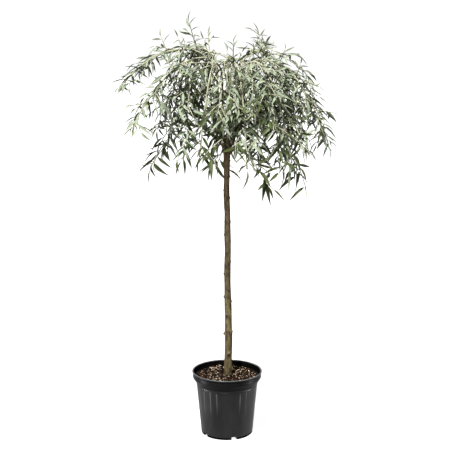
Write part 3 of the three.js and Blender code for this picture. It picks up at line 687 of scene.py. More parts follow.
def scar_relief(rise, around, size):
    """How far a scar stands out, round the stem, at a rise above its middle."""
    cushion = SCAR_CUSHION * np.exp(-(rise**2) - around**2)
    ridge_rise = math.exp(-((rise - SCAR_RIDGE["rise"]) ** 2))
    ridge = SCAR_RIDGE["proud"] * ridge_rise * np.exp(-((around / SCAR_RIDGE["width"]) ** 2))
    notch_rise = (rise - SCAR_NOTCH["rise"]) ** 2 / SCAR_NOTCH["height"]
    notch = SCAR_NOTCH["depth"] * np.exp(-notch_rise - (around / SCAR_NOTCH["width"]) ** 2)
    return size * (cushion + ridge - notch)


scars = []
scar_heights = np.arange(TRUNK_FOOT + SCAR_FREE_ENDS, GRAFT_HEIGHT - SCAR_FREE_ENDS, SCAR_SPACING)
for k, height in enumerate(scar_heights):
    scar_size = trunk_draws.uniform(*SCAR_SIZE) * (LOW_SCARS["scale"] if height < LOW_SCARS["under"] else 1)
    scars.append((height + trunk_draws.uniform(-SCAR_SHIFT, SCAR_SHIFT), SCAR_TURN * k, scar_size))

trunk_turns = np.linspace(0, 2 * math.pi, TRUNK_TURNS, endpoint=False)
waves = [(trunk_draws.uniform(*BARK_WAVES["pace"]), lobes, trunk_draws.uniform(*BARK_WAVES["phase"]))
         for lobes in BARK_WAVES["lobes"]]
rings = []
for height in np.arange(TRUNK_FOOT - TRUNK_SUNK, TRUNK_TOP, TRUNK_RING_STEP):
    radii = np.full(TRUNK_TURNS, trunk_radius(height) + BARK_THICKNESS)
    for pace, lobes, phase in waves:
        radii += BARK_WAVES["height"] * np.sin(pace * height + lobes * trunk_turns + phase)
    for scar_height, scar_turn, scar_size in scars:
        rise = (height - scar_height) / (SCAR_HALF_HEIGHT * scar_size)
        if abs(rise) <= SCAR_REACH:
            radii += scar_relief(rise, turn_apart(trunk_turns, scar_turn) / SCAR_HALF_TURN, scar_size)
    for ring_height in OLD_RINGS:
        tilted = ring_height + OLD_RING["tilt"] * np.sin(trunk_turns + OLD_RING["tilt_turn"])
        radii += OLD_RING["proud"] * np.exp(-(((height - tilted) / OLD_RING["half_height"]) ** 2))
    rings.append(level_ring(trunk_turns, radii, height, trunk_axis(max(height, TRUNK_FOOT))))
points, faces = round_rings(np.array(rings))


def patched_tint(paint, patch, tint, lighter):
    """A tint that is lighter in patches."""
    lightened = tuple(lighter * part for part in tint)
    return colour_steps(paint, patch, zip(PATCH_PLACES, (tint, lightened)))


def bark_paint(name, streaks, low_tint, high_tint, dark_tint, low_end, high_end):
    """Smooth young bark: streaked and blotched, tinted towards each end, with short cross marks."""
    paint = new_paint(name)
    coloured = colour_steps(paint, pattern(paint, *BARK_STREAKS), streaks)
    height = place_parts(paint)["Z"]
    patch = pattern(paint, *BARK_PATCHES)
    for tint, rule, end, to_share in ((low_tint, LOW_TINT, low_end, (LOW_TINT["share"], 0)),
                                      (high_tint, HIGH_TINT, high_end, (0, HIGH_TINT["share"]))):
        by_height = spread_value(paint, height, end, to_share)
        by_patch = spread_value(paint, patch, rule["patches"], rule["in_patches"])
        tinted = patched_tint(paint, patch, tint, rule["lighter"])
        coloured = mix_colours(paint, reckon(paint, "MULTIPLY", by_height, by_patch), coloured, tinted)
    blotch = spread_value(paint, pattern(paint, *BARK_BLOTCHES), BLOTCHES["range"], (0, BLOTCHES["share"]))
    stretch = pattern(paint, *BLOTCHED_STRETCHES)
    stretch = spread_value(paint, stretch, BLOTCHES["stretches"], BLOTCHES["on_stretches"])
    dark = patched_tint(paint, patch, dark_tint, BLOTCH_LIGHTER)
    coloured = mix_colours(paint, reckon(paint, "MULTIPLY", blotch, stretch), coloured, dark)
    cross = pattern(paint, *CROSS_MARKS)
    marked = colour_steps(paint, cross, CROSS_MARK_PLACES)
    faint = spread_value(paint, marked, (0, 1), (0, CROSS_MARK_SHARE))
    mark = colour_steps(paint, patch, CROSS_MARK_COLOURS)
    set_colour(paint, mix_colours(paint, faint, coloured, mark))
    set_finish(paint, BARK_ROUGHNESS, BARK_GLOSS)
    add_relief(paint, cross, *BARK_RELIEF)
    return paint


trunk_bark = bark_paint(
    "trunk_bark",
    streaks=[(0.28, (0.050, 0.036, 0.015)), (0.5, (0.092, 0.071, 0.029)), (0.75, (0.150, 0.122, 0.054))],
    low_tint=(0.058, 0.044, 0.017),
    # the high tint is the upper bark's reddish colour, made lighter as painted light where the crown's
    # shade falls on the trunk
    high_tint=(0.130, 0.078, 0.041),
    dark_tint=(0.024, 0.013, 0.008),
    low_end=(0.23, 0.36),
    high_end=(0.70, 1.02),
)
trunk = new_piece("trunk_bark", points, faces, [trunk_bark])
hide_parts("trunk")
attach(trunk, "root")


# The boughs: nine slender limbs that leave the swollen graft in three tiers and climb side by side
# to where their foliage begins. Their bark is younger than the trunk's, greener and smoother.
BOUGH_ROOT_RADIUS = 0.0048
BOUGH_TIP_RADIUS = 0.0035
BOUGH_ROOT_DEPTH = 0.005
BOUGH_STEPS = 6
BOUGH_FINE_STEPS = 8
BOUGH_TURNS = 14
BOUGH_COLLAR = 0.0022
BOUGH_COLLAR_SHARE = 0.10
BOUGH_RELIEF = 0.00018
KNOTS = {"first": 0.16, "end": 0.95, "spacing": 0.12, "shift": 0.03, "proud": 0.0006, "half_share": 0.014}
TIER_COUNT = 3
LOWEST_TIER = 1.074
TIER_SPACING = 0.021
BOUGH_ELBOW = {"out": 0.75, "rise": 0.028, "climb": 0.45}
BOUGH_CLIMB = 0.070
BOUGH_TIP_SHARE = 0.4
STRAIGHT_END = 0.008
NEAR_AXIS = 0.9
BOUGH_SEED = 1074
UP = np.array([0.0, 0.0, 1.0])
# side: heading in degrees round from +X, crest and hanging end (distance out, height), the share of
# their full length that its twigs reach, upright shoots
BOUGHS = {
    "right": (-8, (0.150, 1.415), (0.355, 1.160), 0.85, (0.048,)),
    "back_right": (45, (0.185, 1.450), (0.330, 1.120), 1, (0.042, 0.054)),
    "back": (90, (0.100, 1.430), (0.255, 1.075), 1, ()),
    "back_left": (147, (0.110, 1.455), (0.285, 1.075), 1, (0.042,)),
    "left": (183, (0.155, 1.455), (0.375, 1.335), 0.35, (0.090,)),
    "front_left": (205, (0.095, 1.425), (0.360, 1.190), 0.4, (0.054,)),
    "front": (248, (0.110, 1.405), (0.230, 1.085), 0.95, ()),
    "front_right": (288, (0.095, 1.405), (0.250, 1.045), 0.85, (0.054,)),
    "right_front": (323, (0.125, 1.410), (0.290, 1.060), 1.1, (0.054,)),
}
graft = trunk_axis(GRAFT_HEIGHT)


def unit(vector):
    """A way of length one."""
    return vector / np.linalg.norm(vector)


def on_heading(heading, out, height, sideways=0.0):
    """A point of a bough's own plane, at a distance from the graft's axis and a height."""
    turn = math.radians(heading)
    ahead = np.array([math.cos(turn), math.sin(turn), 0])
    aside = np.array([-math.sin(turn), math.cos(turn), 0])
    return np.array([graft[0], graft[1], height]) + out * ahead + sideways * aside


def bough_tip(crest):
    """Where a bough ends and its foliage begins, as (distance out, height)."""
    return BOUGH_TIP_SHARE * crest[0], crest[1] - BOUGH_CLIMB


def bough_points(index, heading, crest, steps):
    """The line of a bough: out of the graft, round an elbow, and upright at its end."""
    root = LOWEST_TIER + TIER_SPACING * (index % TIER_COUNT)
    tip_out, tip_height = bough_tip(crest)
    a = on_heading(heading, BOUGH_ROOT_DEPTH, root)
    b = on_heading(heading, BOUGH_ELBOW["out"] * tip_out, root + BOUGH_ELBOW["rise"])
    c = on_heading(heading, tip_out, root + BOUGH_ELBOW["climb"] * (tip_height - root))
    d = on_heading(heading, tip_out, tip_height - STRAIGHT_END)
    curve = []
    for t in np.linspace(0, 1, steps + 1):
        curve.append((1 - t) ** 3 * a + 3 * t * (1 - t) ** 2 * b + 3 * t**2 * (1 - t) * c + t**3 * d)
    return np.array([*curve, on_heading(heading, tip_out, tip_height)])


def limb_rings(points, radii, sides):
    """Rings of points round a limb that follows a line, one ring for each point."""
    points = np.asarray(points)
    along = np.gradient(points, axis=0)
    along /= np.linalg.norm(along, axis=1)[:, None]
    turns = np.linspace(0, 2 * math.pi, sides, endpoint=False)
    across = np.array([1.0, 0, 0]) if abs(along[0][0]) < NEAR_AXIS else np.array([0, 1.0, 0])
    rings = []
    for point, ahead, radius in zip(points, along, radii):
        across = unit(across - ahead * across.dot(ahead))
        third = np.cross(ahead, across)
        round_about = np.cos(turns)[:, None] * across + np.sin(turns)[:, None] * third
        rings.append(point + np.asarray(radius).reshape(-1, 1) * round_about)
    return np.array(rings)


def joined(shapes):
    """Several (points, faces) shapes as one."""
    points = []
    faces = []
    start = 0
    for shape_points, shape_faces in shapes:
        points.append(shape_points)
        faces += [[corner + start for corner in face] for face in shape_faces]
        start += len(shape_points)
    return np.vstack(points), faces


bough_draws = np.random.default_rng(BOUGH_SEED)
limbs = []
for index, (side, (heading, crest, *_)) in enumerate(BOUGHS.items()):
    line = bough_points(index, heading, crest, BOUGH_STEPS * BOUGH_FINE_STEPS)
    share = np.linspace(0, 1, len(line))
    radii = BOUGH_ROOT_RADIUS + (BOUGH_TIP_RADIUS - BOUGH_ROOT_RADIUS) * share
    radii = radii + BOUGH_COLLAR * np.exp(-((share / BOUGH_COLLAR_SHARE) ** 2))
    knots = np.arange(KNOTS["first"], KNOTS["end"], KNOTS["spacing"])
    for place in knots + bough_draws.uniform(-KNOTS["shift"], KNOTS["shift"]):
        radii = radii + KNOTS["proud"] * np.exp(-(((share - place) / KNOTS["half_share"]) ** 2))
    relief = BOUGH_RELIEF * bough_draws.normal(size=(len(line), BOUGH_TURNS))
    limbs.append(round_rings(limb_rings(line, radii[:, None] + relief, BOUGH_TURNS)))
points, faces = joined(limbs)
bough_bark = bark_paint(
    "bough_bark",
    streaks=[(0.28, (0.030, 0.022, 0.012)), (0.5, (0.070, 0.054, 0.030)), (0.75, (0.115, 0.098, 0.060))],
    low_tint=(0.060, 0.036, 0.020),
    high_tint=(0.130, 0.132, 0.085),
    dark_tint=(0.030, 0.024, 0.014),
    low_end=(1.08, 1.22),
    high_end=(1.20, 1.38),
)
boughs = new_piece("bough_bark", points, faces, [bough_bark])
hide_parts(*[f"bough_{side}" for side in BOUGHS])
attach(boughs, "root")


# The foliage stems and twigs: from each bough's tip a pale stem goes on over the arch and hangs,
# side twigs hang from it and finer ones branch from those. Thin downy wood, cream to grey green.
FOLIAGE_SEED = 7960
FINE_GROWTH_SEED = 24
DRAW_FACTOR = 16807
DRAW_RANGE = 2147483647
STEM_RISE_STEPS = 3
STEM_FALL_STEPS = 6
STEM_FALL_PACE = 0.8
STEM_RADII = (BOUGH_TIP_RADIUS, 0.0026)
STEM_SIDES = 8
STEM_SWAY = 0.025
TWIG_COUNT = 9
TWIG_SPAN = (0.1, 0.95)
TWIG_SPREAD = (0.6, 1.3)
TWIG_LIFT = 0.3
TWIG_RADII = (0.0020, 0.0014)
TWIG_SIDES = 5
TWIG_STEP = 0.045
TWIG_LENGTH = (0.310, 0.140)
TWIG_DROOP = 0.22
HANGING_SLANT = 0.45
UPRIGHT_PLACE = 0.3
UPRIGHT_SPACING = 0.1
UPRIGHT_LEAN = 0.3
UPRIGHT_LEAST_RISE = 0.02
UPRIGHT_UNDER_TOP = 0.052
CURVE_STEP = 0.012
SPACE_MARGIN = 0.0012
RUN_TEST_STEP = 0.010
LIMB_CLEARANCE = 0.004
MIDDLE_STEM_TOP = 1.390
MIDDLE_STEM_SUNK = 0.004
MIDDLE_STEPS = 6
MIDDLE_TWIGS = 5
MIDDLE_TWIG_LENGTH = 0.040
MIDDLE_SPACE = {"radius": 0.024, "mouth": 1.385, "widening": 0.6, "top": 1.455}
GAP = 0.0003
REACH_ROOM = 0.014
# leafy shoots by what they grow on: their spacing, their lengths from its foot to its end, and how much
# they set off ahead along it, over it and out from the trunk
LEAFY_SHOOTS = {
    "stem": {"spacing": 0.048, "length": (0.150, 0.090), "ahead": 0.6, "over": (-1.0, 0.0), "out": 0.1},
    "twig": {"spacing": 0.062, "length": (0.110, 0.075), "ahead": 1.0, "over": (-0.4, 0.8), "out": 0.6},
    "upright": {"spacing": 0.060, "length": (0.060, 0.040), "ahead": 1.0, "over": (-0.2, 0.9), "out": 0.0},
}
LEAFY_SHOOT_PLACE = (0.2, 0.9)
LEAFY_SHOOT_LAST = 0.97
LEAFY_SHOOT_LEAN = (0.8, 1.6)
LEAFY_SHOOT_VARIETY = (0.65, 1.2)
INNER_RADIUS = 0.17
INNER_BARE_SHARE = 0.3
RISING_SHOOTS = 3
RISING_SPAN = (0.22, 0.62)
RISING_LENGTH = (0.040, 0.070)
RISING_SPREAD = 0.7
RISING_AHEAD = 0.4
WEAKEST_VIGOUR = 0.55
LEAFY_SHOOT_STEP = 0.015
LEAFY_SHOOT_DROOP = 0.05
LEAFY_SHOOT_RADII = (0.0020, 0.0013)
LEAFY_SHOOT_CROWDING = 0.8
CLEAN_TRUNK = {"half_width": 0.034, "under": 1.11}
CURTAIN_FOOT = 0.94
TWIG_MOTTLE = (60, 4)
TWIG_COLOURS = [(0.3, (0.20, 0.195, 0.12)), (0.5, (0.34, 0.335, 0.23)), (0.75, (0.48, 0.47, 0.35))]
TWIG_ROUGHNESS = 0.7
TWIG_GLOSS = 0.3
TWIG_GRAIN = (400, 3)
TWIG_RELIEF = (0.3, 0.0004)


def seeded_draws(seed):
    """Numbers from 0 to 1, the same on every run."""
    state = seed * DRAW_FACTOR % DRAW_RANGE
    while True:
        state = state * DRAW_FACTOR % DRAW_RANGE
        yield state / DRAW_RANGE


def stem_points(heading, crest, end, sway):
    """The stem of a mass: straight up out of the bough, over the crest, then a falling curve."""
    tip_out, tip_height = bough_tip(crest)
    foot = tip_height + GAP + STRAIGHT_END
    points = [on_heading(heading, tip_out, tip_height + GAP)]
    for i in range(STEM_RISE_STEPS):
        turn = math.pi / 2 * i / STEM_RISE_STEPS
        out = tip_out + (crest[0] - tip_out) * (1 - math.cos(turn))
        points.append(on_heading(heading, out, foot + (crest[1] - foot) * math.sin(turn)))
    for i in range(STEM_FALL_STEPS + 1):
        share = (i / STEM_FALL_STEPS) ** STEM_FALL_PACE
        out = crest[0] + (end[0] - crest[0]) * share
        height = crest[1] - (crest[1] - end[1]) * share**2
        points.append(on_heading(heading, out, height, sway * share**2))
    return np.array(points)


def along_points(points, share):
    """The point and the direction at a share of the way along a line of points."""
    place = share * (len(points) - 1)
    i = min(int(place), len(points) - 2)
    step = points[i + 1] - points[i]
    return points[i] + step * (place - i), unit(step)


def in_middle(point, room):
    """True in the column between the boughs that the middle mass keeps to."""
    if point[2] > MIDDLE_SPACE["top"] - room:
        return False
    widened = MIDDLE_SPACE["widening"] * max(0, point[2] - MIDDLE_SPACE["mouth"])
    out = math.hypot(point[0] - graft[0], point[1] - graft[1])
    return out < MIDDLE_SPACE["radius"] + widened - room


def wedge_of(index):
    """The space of a bough's mass: up to half way to each neighbour, outside the middle."""
    headings = [heading for heading, *_ in BOUGHS.values()]
    count = len(headings)
    here = headings[index]
    after = headings[(index + 1) % count] + (360 if index + 1 == count else 0)
    before = headings[index - 1] - (360 if index == 0 else 0)
    low, high = math.radians((here + before) / 2), math.radians((here + after) / 2)

    def inside(point):
        x, y = point[0] - graft[0], point[1] - graft[1]
        from_low = y * math.cos(low) - x * math.sin(low)
        from_high = x * math.sin(high) - y * math.cos(high)
        return min(from_low, from_high) > SPACE_MARGIN and not in_middle(point, -SPACE_MARGIN)

    return inside


def distance_to_line(point, points):
    """How far a point is from the nearest place on a line of points."""
    starts, steps = points[:-1], np.diff(points, axis=0)
    shares = np.clip(((point - starts) * steps).sum(1) / (steps * steps).sum(1), 0, 1)
    return np.linalg.norm(starts + shares[:, None] * steps - point, axis=1).min()


def clear_of(limb_lines):
    """A test for points that are clear of some limbs."""
    def clear(point):
        return all(distance_to_line(point, line) > radius + LIMB_CLEARANCE for line, radius in limb_lines)

    return clear


def all_along(start, end, test):
    """True if a test holds all the way from start to end."""
    parts = math.ceil(np.linalg.norm(end - start) / RUN_TEST_STEP)
    return all(test(start + (end - start) * i / parts) for i in range(1, parts + 1))


def grow_twig(start, heading, length, droop, hanging, fits):
    """Grows a twig step by step; a step that would leave its space hangs, or ends the twig."""
    points = [start]
    steps = max(1, int(length / TWIG_STEP + 0.5))
    way = unit(heading)
    for _ in range(steps):
        if not all_along(points[-1], points[-1] + way * length / steps, fits):
            way = hanging
        if not all_along(points[-1], points[-1] + way * length / steps, fits):
            break
        points.append(points[-1] + way * length / steps)
        way = unit(way - UP * droop)
    return np.array(points)


def between(ends, share):
    """The number at a share of the way from one end to the other."""
    return ends[0] + (ends[1] - ends[0]) * share


def rounded_line(points):
    """A smooth curve through the points, in even short steps."""
    points = np.asarray(points)
    ends = np.vstack([2 * points[0] - points[1], points, 2 * points[-1] - points[-2]])
    curve = [points[0]]
    for a, b, c, d in zip(ends, ends[1:], ends[2:], ends[3:]):
        parts = max(2, math.ceil(np.linalg.norm(c - b) / CURVE_STEP))
        for t in np.linspace(0, 1, parts + 1)[1:]:
            bend = 2 * b + (c - a) * t + (2 * a - 5 * b + 4 * c - d) * t**2 + (3 * b - a - 3 * c + d) * t**3
            curve.append(bend / 2)
    return np.array(curve)


def reach_of(node):
    """A test for points within the reach of a mass's solid, so that nothing grows past it."""
    low, high = (np.array(corner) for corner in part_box(node))

    def within(point):
        return bool(np.all(point > low - REACH_ROOM) and np.all(point < high + REACH_ROOM))

    return within


def trimmed_off(point):
    """True in front of the bare trunk and under the curtain's foot, where the nursery trims shoots."""
    aside = abs(point[0] - trunk_axis(point[2])[0])
    before_trunk = aside < CLEAN_TRUNK["half_width"] and point[2] < CLEAN_TRUNK["under"] and point[1] < 0
    return before_trunk or point[2] < CURTAIN_FOOT


def trimmed(line):
    """A line of points as far as the space that is trimmed."""
    for k, point in enumerate(line):
        if trimmed_off(point):
            return line[:k]
    return line


# Each spray is one twig of a mass: its line, its two radii, the way out from the trunk, its rank, and
# the reach, the random draws and the vigour of its mass.
Spray = namedtuple("Spray", "line radii outward rank within draws vigour")
trunk_line = np.array([trunk_axis(TRUNK_FOOT), trunk_axis(GRAFT_HEIGHT)])
bough_lines = [(bough_points(i, heading, crest, BOUGH_STEPS), BOUGH_ROOT_RADIUS)
               for i, (heading, crest, *_) in enumerate(BOUGHS.values())]
sprays = []
for index, (side, (heading, crest, end, twig_share, shoots)) in enumerate(BOUGHS.items()):
    draws = seeded_draws(FOLIAGE_SEED * (index + 1))
    in_wedge = wedge_of(index)
    vigour = WEAKEST_VIGOUR + (1 - WEAKEST_VIGOUR) * min(1, twig_share)
    mass = (reach_of(f"foliage_{side}"), np.random.default_rng((FINE_GROWTH_SEED, index)), vigour)
    clear = clear_of([bough_lines[index], (trunk_line, TRUNK_TOP_RADIUS + GRAFT_SWELLING)])

    def fits(point):
        return in_wedge(point) and clear(point)

    stem = stem_points(heading, crest, end, STEM_SWAY * (2 * next(draws) - 1))
    outward = on_heading(heading, 1, 0) - on_heading(heading, 0, 0)
    sideways = np.cross(UP, outward)
    hanging = unit(HANGING_SLANT * outward - UP)
    sprays.append(Spray(rounded_line(stem), STEM_RADII, outward, "stem", *mass))
    for k in range(TWIG_COUNT):
        share = between(TWIG_SPAN, k / (TWIG_COUNT - 1))
        start, ahead = along_points(stem, share)
        spread = between(TWIG_SPREAD, next(draws))
        way = ahead + sideways * (spread if k % 2 == 0 else -spread) + UP * TWIG_LIFT * (1 - share)
        twig = grow_twig(start, way, twig_share * between(TWIG_LENGTH, share), TWIG_DROOP, hanging, fits)
        if len(twig) > 1:
            line = trimmed(rounded_line(twig))
            sprays.append(Spray(line, TWIG_RADII, outward, "twig", *mass))
    for k, length in enumerate(shoots):
        start, ahead = along_points(stem, UPRIGHT_PLACE + UPRIGHT_SPACING * k)
        way = UP + UPRIGHT_LEAN * ahead + sideways * (next(draws) - 0.5)
        twig = grow_twig(start, way, length, 0, hanging, fits)
        if len(twig) > 1:
            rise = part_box(f"foliage_{side}")[1][2] - UPRIGHT_UNDER_TOP - twig[-1][2]
            twig = np.vstack([twig, twig[-1] + unit(way) * max(UPRIGHT_LEAST_RISE, rise)])
            sprays.append(Spray(rounded_line(twig), TWIG_RADII, outward, "upright", *mass))

middle_draws = seeded_draws(FOLIAGE_SEED * (len(BOUGHS) + 1))
middle_clear = clear_of(bough_lines)
foot = trunk_axis(TRUNK_TOP)
middle_heights = np.linspace(TRUNK_TOP - MIDDLE_STEM_SUNK, MIDDLE_STEM_TOP, MIDDLE_STEPS + 1)
middle_stem = np.array([(foot[0], foot[1], height) for height in middle_heights])
front = np.array([math.cos(FRONT), math.sin(FRONT), 0])
middle_mass = (reach_of("foliage_middle"), np.random.default_rng((FINE_GROWTH_SEED, len(BOUGHS))), 1)
sprays.append(Spray(rounded_line(middle_stem), STEM_RADII, front, "stem", *middle_mass))


def fits_middle(point):
    """True in the middle mass's own space and clear of the boughs."""
    return in_middle(point, SPACE_MARGIN) and middle_clear(point)


for k in range(MIDDLE_TWIGS):
    turn = FRONT + 2 * math.pi * (k + next(middle_draws)) / MIDDLE_TWIGS
    way = np.array([math.cos(turn), math.sin(turn), 1])
    twig = grow_twig(middle_stem[-1], way, MIDDLE_TWIG_LENGTH, 0, UP, fits_middle)
    if len(twig) > 1:
        sprays.append(Spray(rounded_line(twig), TWIG_RADII, front, "twig", *middle_mass))

leafy_shoots = []


def length_of(line):
    """The length of a line of points."""
    return np.linalg.norm(np.diff(line, axis=0), axis=1).sum()


def across_of(ahead, outward):
    """The way across a twig: level, or square to the way out where the twig runs steeply."""
    return unit(np.cross(ahead, UP if abs(ahead[2]) < NEAR_AXIS else outward))


def grow_leafy_shoot(spray, start, way, length, droop, rank="leafy_shoot"):
    """Adds a leafy shoot to a spray, as long as it stays within the reach of its mass."""
    points = [start]
    for _ in range(max(2, round(length / LEAFY_SHOOT_STEP))):
        if trimmed_off(points[-1]) or not spray.within(points[-1] + way * 2 * LEAFY_SHOOT_STEP):
            break
        points.append(points[-1] + way * LEAFY_SHOOT_STEP)
        way = unit(way - UP * droop)
    if len(points) > 2:
        line = np.array(points)
        leafy_shoots.append(spray._replace(line=line, radii=LEAFY_SHOOT_RADII, rank=rank))


for spray in sprays:
    rule = LEAFY_SHOOTS[spray.rank]
    count = int(length_of(spray.line) / rule["spacing"])
    hand = 1
    for k in range(count):
        share = ((k + spray.draws.uniform(*LEAFY_SHOOT_PLACE)) / count) ** LEAFY_SHOOT_CROWDING
        start, ahead = along_points(spray.line, min(LEAFY_SHOOT_LAST, share))
        across = across_of(ahead, spray.outward)
        over = np.cross(across, ahead)
        if over.dot(spray.outward + UP) < 0:
            over = -over
        hand = -hand
        away = across * hand + over * spray.draws.uniform(*rule["over"])
        way = ahead * rule["ahead"] + unit(away) * spray.draws.uniform(*LEAFY_SHOOT_LEAN)
        way = unit(way + spray.outward * rule["out"])
        length = spray.vigour * between(rule["length"], share) * spray.draws.uniform(*LEAFY_SHOOT_VARIETY)
        inside = math.hypot(start[0], start[1]) < INNER_RADIUS
        if not (inside and spray.draws.uniform() < INNER_BARE_SHARE):
            grow_leafy_shoot(spray, start, way, length, LEAFY_SHOOT_DROOP)
    for k in range(RISING_SHOOTS if spray.rank == "stem" else 0):
        share = between(RISING_SPAN, (k + spray.draws.uniform()) / RISING_SHOOTS)
        start, ahead = along_points(spray.line, share)
        across = np.cross(UP, spray.outward)
        way = unit(UP + ahead * RISING_AHEAD + across * spray.draws.uniform(-RISING_SPREAD, RISING_SPREAD))
        grow_leafy_shoot(spray, start, way, spray.draws.uniform(*RISING_LENGTH), 0, "rising")
sprays += leafy_shoots

twig_shapes = []
for spray in sprays:
    sides = STEM_SIDES if spray.rank == "stem" else TWIG_SIDES
    radii = np.linspace(*spray.radii, len(spray.line))
    twig_shapes.append(round_rings(limb_rings(spray.line, radii, sides)))
points, faces = joined(twig_shapes)
twig_wood = new_paint("twig_wood")
set_colour(twig_wood, colour_steps(twig_wood, pattern(twig_wood, *TWIG_MOTTLE), TWIG_COLOURS))
set_finish(twig_wood, TWIG_ROUGHNESS, TWIG_GLOSS)
add_relief(twig_wood, pattern(twig_wood, *TWIG_GRAIN), *TWIG_RELIEF)
twigs = new_piece("foliage_twigs", points, faces, [twig_wood])
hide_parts("foliage_middle", *[f"foliage_{side}" for side in BOUGHS])
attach(twigs, "root")


# The leaves: narrow, pointed and slightly folded along the rib, set in two loose rows on the twigs
# and hanging a little. Downy grey green above, paler beneath; each spray has one tint, the tree's own
# tones with painted light and shade: lighter silver high up and outside, dark olive low down and inside.
LEAF_SPACING = {"stem": 0.012, "twig": 0.012, "upright": 0.013, "leafy_shoot": 0.0128, "rising": 0.012}
LEAF_CROWDING = 0.7
LEAF_LENGTH = (0.043, 0.065)
LEAF_WIDTH = (0.15, 0.21)
LEAF_STATIONS = np.array([0.06, 0.18, 0.36, 0.58, 0.82])
LEAF_OUTLINE = np.array([0.08, 0.52, 0.96, 0.94, 0.48])
LEAF_FOLD = 0.55
LEAF_THICKNESS = 0.0005
LEAF_SHARP_ANGLE = math.radians(75)
LEAF_LEAST_COUNT = 2
LEAF_ROW_SPREAD = 0.28
LEAF_LEAN = (1.8, 0.9)
LEAF_LEAN_SPREAD = 0.10
END_LEAF_LEAN = 0.15
END_LEAF_SCALE = 0.8
LEAF_SAG = 0.04
LEAF_FACING = {"up": 1.0, "outward": 0.7, "away": 0.2}
LEAF_TWIST = 0.55
LEAF_DROOP = (0.10, 0.50)
LEAF_SICKLE = 0.26
YOUNG_LEAF_SCALE = 0.7
YOUNG_LEAF_COUNT = 2
YOUNG_LEAF_SHARE = 0.16
YOUNG_ABOVE = 1.16
# heights and distances over which the crown passes into its ends, where leaves are sparser and longer
LOW_ENDS = (1.17, 1.07)
OUTER_ENDS = (0.26, 0.36)
END_SPACING = 1.45
LOW_LEAF_SCALE = 1.35
OUTER_LEAF_SCALE = 1.10
LEAFY_FROM = {"stem": 0.55, "twig": 0.10, "upright": 0.3, "leafy_shoot": 0.08, "rising": 0.25}
LEAF_SCALE = {"stem": 1.1, "twig": 1.05, "upright": 0.85, "leafy_shoot": 1.0, "rising": 0.8}
LEAF_TINTS = {
    "sage_leaves": ((0.068, 0.087, 0.037), (0.150, 0.181, 0.085)),
    "silver_lit_leaves": ((0.132, 0.160, 0.102), (0.264, 0.304, 0.208)),
    "olive_shaded_leaves": ((0.014, 0.023, 0.004), (0.054, 0.073, 0.015)),
    "young_leaves": ((0.125, 0.142, 0.052), (0.225, 0.245, 0.112)),
}
# shares of silver sprays, painted light, and of olive sprays, painted shade: at the crown's middle, and
# more or less a metre higher or out
CROWN_MIDDLE = {"height": 1.20, "out": 0.2}
SILVER_SHARE = {"middle": 0.28, "higher": 3.0, "further_out": 2.4}
OLIVE_SHARE = {"middle": 0.60, "higher": -3.4, "further_out": -2.6}
PALER_BENEATH = 1.35
DOWN_BENEATH = 0.025
LEAF_MOTTLE = (38, 3)
LEAF_MOTTLE_PLACES = (0.3, 0.7)
LEAF_ROUGHNESS = 0.58
LEAF_GLOSS = 0.2
LEAF_DOWN = 0.15
LEAF_GRAIN = (600, 2)
LEAF_RELIEF = (0.15, 0.0003)
TINT_SEED = 137
tint_draws = np.random.default_rng(TINT_SEED)
leaves = {tint: [] for tint in LEAF_TINTS}


def towards_ends(point):
    """How far a point is into the low ends of the crown, and into its outer ends, from 0 to 1."""
    low = (LOW_ENDS[0] - point[2]) / (LOW_ENDS[0] - LOW_ENDS[1])
    outer = (math.hypot(point[0], point[1]) - OUTER_ENDS[0]) / (OUTER_ENDS[1] - OUTER_ENDS[0])
    return np.clip((low, outer), 0, 1)


def share_at(line, rule):
    """The share of sprays that have a tint, where a spray's line is."""
    higher = line[:, 2].mean() - CROWN_MIDDLE["height"]
    further_out = np.hypot(line[:, 0], line[:, 1]).mean() - CROWN_MIDDLE["out"]
    return rule["middle"] + rule["higher"] * higher + rule["further_out"] * further_out


def spray_tint(line):
    """The tint of one spray: silver high up and outside as painted light, olive low down and inside as
    painted shade.
    """
    draw = tint_draws.uniform()
    if draw < share_at(line, SILVER_SHARE):
        return "silver_lit_leaves"
    if draw > 1 - share_at(line, OLIVE_SHARE):
        return "olive_shaded_leaves"
    return "sage_leaves"


